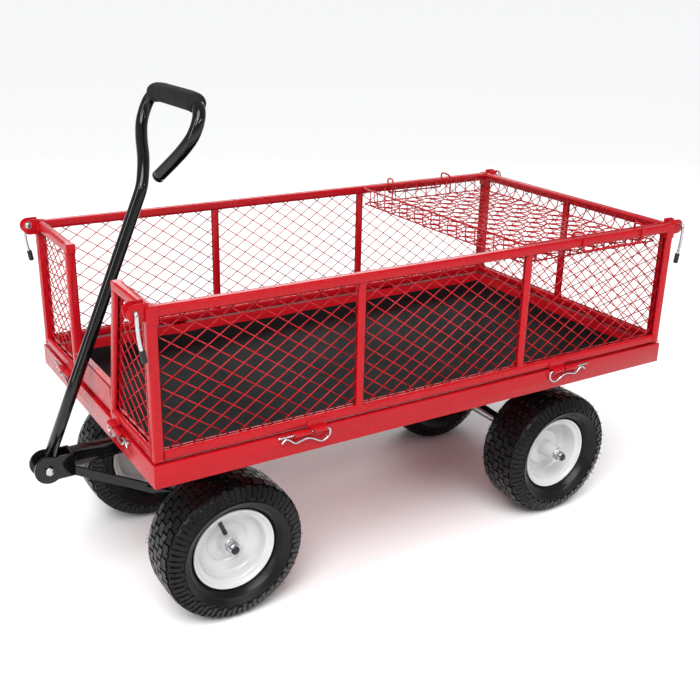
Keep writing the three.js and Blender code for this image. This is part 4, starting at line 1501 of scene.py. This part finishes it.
@dataclass
class Wheels(Assembly):
    """The four wheels: tyres with their tread, dished rims, bearings, valves, axles and nuts."""

    tread: TreadPattern = field(default_factory=TreadPattern)
    track: float = 240.0
    axle_x: tuple[float, float] = (-470.5, 414.5)
    axle_z: float = 157.0
    hairs: int = 84

    def build(self) -> None:
        """Make one wheel's pieces, and put copies of them in the four places."""
        masters = {
            "tyre": (self._tyre(), Slot.TYRE),
            "rim": (self._rim(), Slot.RIM),
            "valve": (self._valve(), Slot.VALVE),
        }
        for end, x in zip(End, self.axle_x):
            for side in Side:
                body = f"{end.word}_{side.word}_wheel"
                flip = side.value * (1 if end is End.FRONT else -1)
                change = Matrix.Translation(self.layout.at(x, side.value * self.track, self.axle_z))
                change = change @ Matrix.Diagonal((1, flip, 1, 1))
                for part, (master, slot) in masters.items():
                    name = f"{end.word}_{side.word}_{part}"
                    self.hand_over(copied(master, change), f"{name}_shape", body, slot, name)
                self._hub(end, side, x, body)
            holder = "steering" if end is End.FRONT else "root"
            axle = self.refined(f"{end.word}_axle", 1.2)
            self.hand_over(axle, f"{end.word}_axle_bar", holder, Slot.ZINC, f"{end.word}_axle")
        for master, _ in masters.values():
            bpy.data.objects.remove(master)

    def _tyre(self) -> bpy.types.Object:
        """Make a tyre about the origin."""
        under = [self.tread.point(0, s, self.tread.depth) / MM for s in range(0, 46, 5)]
        under += [self.tread.point(0, s, self.tread.lug_depth) / MM for s in range(48, 89, 5)]
        skin = [(p.x, p.y) for p in under]
        wall = [(120.4, 63.6), (119.6, 65.6), (118.6, 66.0), (117.6, 65.4), (116.4, 64.2), (111.0, 61.2),
                (106.0, 56.6), (104.8, 56.6), (103.6, 54.8), (100.5, 50.6), (97.4, 44.6), (96.6, 44.2),
                (96.0, 42.4), (93.4, 38.6), (90.5, 37.2), (79.0, 36.4), (77.4, 34.0)]
        inside = [(77.4, 28.0), (94.0, 31.0), (110.0, 52.0), (128.0, 57.0), (142.0, 48.0), (146.0, 30.0)]
        half = [*skin, *wall, *inside]
        profile = [(r, y) for r, y in half] + [(r, -y) for r, y in reversed(half)][:-1]
        carcass = turned(profile, Vector(), Vector((0, 1, 0)), 112, math.radians(24))
        return joined([carcass, self.tread.build(), self._hairs()])

    def _hairs(self) -> bpy.types.Object:
        """Make the fine rubber hairs that moulding leaves on a new tyre's tread."""
        chance = random.Random(11)
        paths = []
        for i in range(self.hairs):
            angle = 2 * math.pi * (i + chance.random() * 0.6) / self.hairs
            if math.sin(angle) < -0.75:
                continue
            s = chance.choice((-1, 1)) * chance.uniform(42, 84)
            around = angle * self.tread.radius
            tip = self.tread.point(around + chance.uniform(-2, 2), s, -chance.uniform(4.5, 7.5))
            paths.append([self.tread.point(around, s, 0.6), tip])
        return wires(paths, 0.55 * MM, 0)

    def _rim(self) -> bpy.types.Object:
        """Make a rim about the origin, its short hub side towards +y."""
        lip = [(77.0, 33.0), (78.6, 35.2), (89.6, 37.4), (91.4, 39.4), (91.6, 42.4), (90.2, 44.2),
               (88.2, 44.4), (86.4, 43.2), (84.8, 40.2), (81.0, 37.0), (76.4, 35.6), (74.8, 33.4)]
        front = [(74.2, 24.0), (73.0, 17.5), (69.8, 12.4), (64.0, 9.2), (56.0, 7.4), (49.6, 6.6), (46.6, 5.4),
                 (44.4, 2.8), (41.0, 1.2), (30.0, 0.8), (25.4, 1.6), (22.4, 3.8), (20.6, 7.0), (19.4, 11.0),
                 (19.2, 26.2), (18.4, 27.0), (16.8, 27.0), (16.2, 26.2)]
        back = [(16.2, -51.2), (16.8, -52.0), (18.4, -52.0), (19.2, -51.2), (19.2, -8.0), (20.4, -4.6),
                (22.6, -2.4), (26.0, -1.4), (41.6, -1.2), (45.4, 0.0), (47.6, 2.6), (50.0, 4.2), (57.0, 5.0),
                (66.0, 5.4), (71.6, 2.8), (74.0, -2.0)]
        profile = [*lip, *front, *back, *[(r, -y) for r, y in reversed(lip)]]
        return turned(profile, Vector(), Vector((0, 1, 0)), 96, math.radians(40))

    def _valve(self) -> bpy.types.Object:
        """Make a valve stem about the wheel's middle: a tapered root, the stem and its ribbed cap."""
        angle = math.radians(110)
        out = Vector((math.cos(angle), 0, math.sin(angle)))
        foot = out * 72.5 * MM + Vector((0, 14.5 * MM, 0))
        tip = out * 34 * MM + Vector((0, 24 * MM, 0))
        length = (tip - foot).length / MM
        ribs = []
        for i in range(6):
            z = length - 11 + i * 1.9
            ribs += [(4.5, z), (4.8, z + 0.5), (4.8, z + 1.2), (4.5, z + 1.6)]
        profile = [(0.6, 0), (7.0, 0), (6.8, 1.6), (5.6, 3.4), (4.9, 7.0), (4.5, length - 13),
                   (4.4, length - 12), *ribs, (4.5, length + 0.4), (3.6, length + 1.2), (0.6, length + 1.4)]
        return turned(profile, foot, (tip - foot).normalized(), 24)

    def _hub(self, end: End, side: Side, x: float, body: str) -> None:
        """Make a wheel's bearing, and its washer and nut on the axle."""
        s = side.value
        out = Vector((0, s, 0))
        outer = 27.0 if end is End.FRONT else 52.0
        inner = 79.0 - outer
        middle = self.layout.at(x, s * self.track, self.axle_z)
        rim, groove = outer - 1, outer - 1.6
        cage = turned(
            [(10.1, 1 - inner), (15.4, 1 - inner), (15.6, 1.6 - inner), (15.6, groove), (15.4, rim),
             (13.4, rim), (13.0, groove), (12.4, groove), (12.0, rim), (10.1, rim)],
            middle, out, 40,
        )
        name = f"{end.word}_{side.word}"
        self.hand_over(cage, f"{name}_bearing_cage", body, Slot.ZINC, f"{name}_bearing")
        face = middle + out * (outer + 0.4) * MM
        disc = [(10.0, 0), (18.4, 0), (18.9, 0.5), (18.9, 2.1), (18.4, 2.6), (10.0, 2.6)]
        washer = turned(disc, face, out, 48)
        nut = bar(face + out * 2.7 * MM, face + out * 13.4 * MM, 14.6 * MM, 6, 0.9 * MM)
        ring = [(9.4, 13.0), (12.3, 13.0), (12.3, 15.2), (11.2, 16.3), (9.8, 16.3), (9.4, 15.6)]
        collar = turned(ring, face, out, 40)
        thread = []
        for i in range(5):
            z = 16.2 + i * 0.8
            thread += [(9.1, z), (8.6, z + 0.4)]
        stud = turned([(0.5, 12), (9.1, 12), *thread, (8.2, 20.4), (6.8, 20.9), (0.5, 20.9)], face, out, 32)
        holder = "steering" if end is End.FRONT else "root"
        fastening = joined([washer, nut, collar])
        self.hand_over(fastening, f"{name}_wheel_nut", holder, Slot.ZINC, f"{name}_axle_nut")
        self.hand_over(stud, f"{name}_axle_end", holder, Slot.BLACK)


# ------------------------------------------------------------------------------------- running gear
@dataclass
class RunningGear(Assembly):
    """The black steel under the tray, and the pull handle."""

    pivot: tuple[float, float] = (-766.0, 297.0)
    lean: float = math.radians(23.1)
    tube: float = 12.7
    loop: tuple[tuple[float, float], ...] = (
        (0, 560), (0, 600), (3, 618), (15, 639), (42, 671), (84, 706), (109, 735), (116, 764), (110, 788),
        (90, 802), (62, 806), (20, 806.5), (-18, 806.5), (-60, 806.5), (-100, 806), (-122, 802), (-140, 790),
        (-150, 770), (-148, 744), (-131, 718), (-106, 692), (-60, 650),
    )

    def build(self) -> None:
        """Make the running gear's pieces."""
        for node, body in (("front_bolster", "root"), ("rear_axle_carrier", "root"),
                           ("front_yoke", "steering"), ("drawbar", "steering")):
            self.hand_over(self.refined(node, 1.3), f"{node}_shape", body, Slot.BLACK, node)
        for node, body in (("kingpin_bolt", "root"), ("handle_bolt", "steering")):
            self.hand_over(self.refined(node, 0.9), f"{node}_shape", body, Slot.ZINC, node)
        self._handle()

    def _on_handle(self, y: float, s: float) -> Vector:
        """Give the point of the leaning handle that is s from the pivot along its tube, and y across."""
        x = self.pivot[0] + s * math.sin(self.lean)
        return self.layout.at(x, y, self.pivot[1] + s * math.cos(self.lean))

    def _handle(self) -> None:
        """Make the handle's tube, eye, grip and end cap."""
        on = self._on_handle
        pivot, mouth = on(0, 0), on(*self.loop[-1])
        loop = rounded([on(y, s) for y, s in self.loop], 6)
        tube = wires([[on(0, 12), on(0, 200), on(0, 400), *loop]], self.tube * MM, 8)
        eye = turned([(5.4, -16), (14.2, -16), (15.0, -15.2), (15.0, 15.2), (14.2, 16), (5.4, 16)],
                     pivot, Vector((0, 1, 0)), 48)
        weld = turned([(12.4, 13.4), (15.4, 12.2), (15.6, 14.2), (14.4, 16.6), (12.4, 18.2)],
                      pivot, (on(0, 100) - pivot).normalized(), 40)
        self.hand_over(joined([tube, eye, weld]), "handle_bar", "handle", Slot.BLACK, "handle_tube")
        self._grip(loop)
        cap = turned(
            [(0.5, 0.3), (12.4, 0.3), (12.9, 0.8), (12.9, 2.0), (12.2, 3.6), (10.4, 4.6), (6.0, 5.2),
             (0.5, 5.4)],
            mouth, (mouth - on(*self.loop[-2])).normalized(), 40,
        )
        self.hand_over(cap, "handle_cap", "handle", Slot.PLASTIC, "handle_end_cap")

    def _grip(self, loop: list[Vector]) -> None:
        """Make the foam grip, which follows the top of the loop and bends into its corners."""
        first, last = (
            min(range(len(loop)), key=lambda i, near=self._on_handle(y, s): (loop[i] - near).length)
            for y, s in ((100, 797), (-124, 801))
        )
        path = loop[first:last + 1]
        ends = [0.66, 0.84, 0.94, 0.985]
        taper = [*ends, *[1.0] * (len(path) - 2 * len(ends)), *reversed(ends)]
        tips = ((path[0], path[1]), (path[-1], path[-2]))
        start, end = (a + (a - b).normalized() * 0.6 * MM for a, b in tips)
        path = [start, *path, end]
        grip = wires([path], 19.6 * MM, 8, taper=[0.645, *taper, 0.645])
        self.hand_over(grip, "handle_foam", "handle", Slot.FOAM, "handle_grip")


# --------------------------------------------------------------------------------------- the studio
@dataclass(frozen=True)
class Studio:
    """Floor, light and camera."""

    lens: float = 50.36
    sensor: float = 36.0
    eye: Triple = (-1202.75, -1869.18, 1279.24)
    azimuth: float = math.radians(-32.268)
    elevation: float = math.radians(21.249)
    roll: float = math.radians(1.352)
    surround: float = 0.36
    sun_power: float = 2.45
    sun_spread: float = math.radians(38)
    sun_place: Triple = (-1.2, -1.6, 3.6)
    floor_size: float = 160.0
    target: Triple = (0.0, 0.0, 0.4)
    lamps: tuple[tuple[str, Triple, float, float, float], ...] = (
        ("key", (-2.4, -2.4, 3.2), 1.6, 1.6, 40.0),
        ("left_strip", (-3.0, -0.6, 1.8), 0.25, 2.4, 26.0),
        ("front_strip", (0.6, -3.4, 2.6), 2.8, 0.25, 30.0),
        ("rear_box", (1.6, 3.2, 2.4), 3.0, 1.4, 50.0),
    )

    def build(self, layout: Layout) -> None:
        """Set up the whole studio."""
        self._camera(layout)
        self._floor()
        self._world()
        self._lights()

    def _camera(self, layout: Layout) -> None:
        """Place the camera."""
        a, e = self.azimuth, self.elevation
        back = Vector((math.sin(a) * math.cos(e), -math.cos(a) * math.cos(e), math.sin(e)))
        right = (-back).cross(Vector((0, 0, 1))).normalized()
        up = right.cross(-back)
        across = right * math.cos(self.roll) + up * math.sin(self.roll)
        rise = up * math.cos(self.roll) - right * math.sin(self.roll)
        data = bpy.data.cameras.new("camera")
        data.lens = self.lens
        data.sensor_width = self.sensor
        camera = placed("camera", data)
        turn = Matrix((across, rise, back)).transposed().to_4x4()
        camera.matrix_world = Matrix.Translation(layout.at(*self.eye)) @ turn
        bpy.context.scene.camera = camera

    def _floor(self) -> None:
        """Make the pale floor."""
        bpy.ops.mesh.primitive_plane_add(size=self.floor_size, location=(0, 0, -0.0005))
        floor = bpy.context.active_object
        floor.name = "floor"
        material = bpy.data.materials.new("pale_floor")
        material.use_nodes = True
        shader = material.node_tree.nodes["Principled BSDF"]
        shader.inputs["Base Color"].default_value = (0.94, 0.94, 0.94, 1.0)
        shader.inputs["Roughness"].default_value = 0.9
        shader.inputs["Specular IOR Level"].default_value = 0.1
        floor.data.materials.append(material)

    def _world(self) -> None:
        """Make the surround: white to look at, and dimmer as a light, so that dark gloss stays dark."""
        world = bpy.data.worlds.new("surround")
        world.use_nodes = True
        nodes, link = world.node_tree.nodes, world.node_tree.links.new
        dim = nodes["Background"]
        dim.inputs["Color"].default_value = (0.96, 0.98, 1.0, 1.0)
        dim.inputs["Strength"].default_value = self.surround
        seen = nodes.new("ShaderNodeBackground")
        seen.inputs["Color"].default_value = (1.0, 1.0, 1.0, 1.0)
        choice = nodes.new("ShaderNodeMixShader")
        path = nodes.new("ShaderNodeLightPath")
        link(path.outputs["Is Camera Ray"], choice.inputs["Fac"])
        link(dim.outputs["Background"], choice.inputs[1])
        link(seen.outputs["Background"], choice.inputs[2])
        link(choice.outputs["Shader"], nodes["World Output"].inputs["Surface"])
        scene = bpy.context.scene
        scene.world = world
        scene.view_settings.view_transform = "Standard"

    def _lights(self) -> None:
        """Make the soft lights and the narrow ones that draw crisp lines on gloss."""
        sun = bpy.data.lights.new("daylight", "SUN")
        sun.energy = self.sun_power
        sun.angle = self.sun_spread
        self._aim("daylight", sun, self.sun_place)
        for name, place, width, height, power in self.lamps:
            data = bpy.data.lights.new(name, "AREA")
            data.shape = "RECTANGLE"
            data.size = width
            data.size_y = height
            data.energy = power
            self._aim(name, data, place)

    def _aim(self, name: str, data: bpy.types.Light, place: Triple) -> None:
        """Put a light at a place and turn it to the cart."""
        lamp = placed(name, data)
        lamp.location = place
        lamp.rotation_euler = (Vector(self.target) - Vector(place)).to_track_quat("-Z", "Y").to_euler()


def main() -> None:
    """Load the frame and build the cart round it."""
    logging.basicConfig(level=logging.INFO, format="%(name)s: %(message)s")
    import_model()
    layout = Layout()
    Studio().build(layout)
    groups = {"coat": coat_group(), "cells": cell_group(), "dust": dust_group()}
    paints = {finish.slot: finish.material(groups) for finish in FINISHES}
    Tray(layout, paints).build()
    for side in Side:
        SidePanel(layout, paints, side=side).build()
    for end in End:
        EndPanel(layout, paints, end=end).build()
    Basket(layout, paints).build()
    Wheels(layout, paints).build()
    RunningGear(layout, paints).build()
    bpy.context.view_layer.update()


if __name__ == "__main__":
    main()
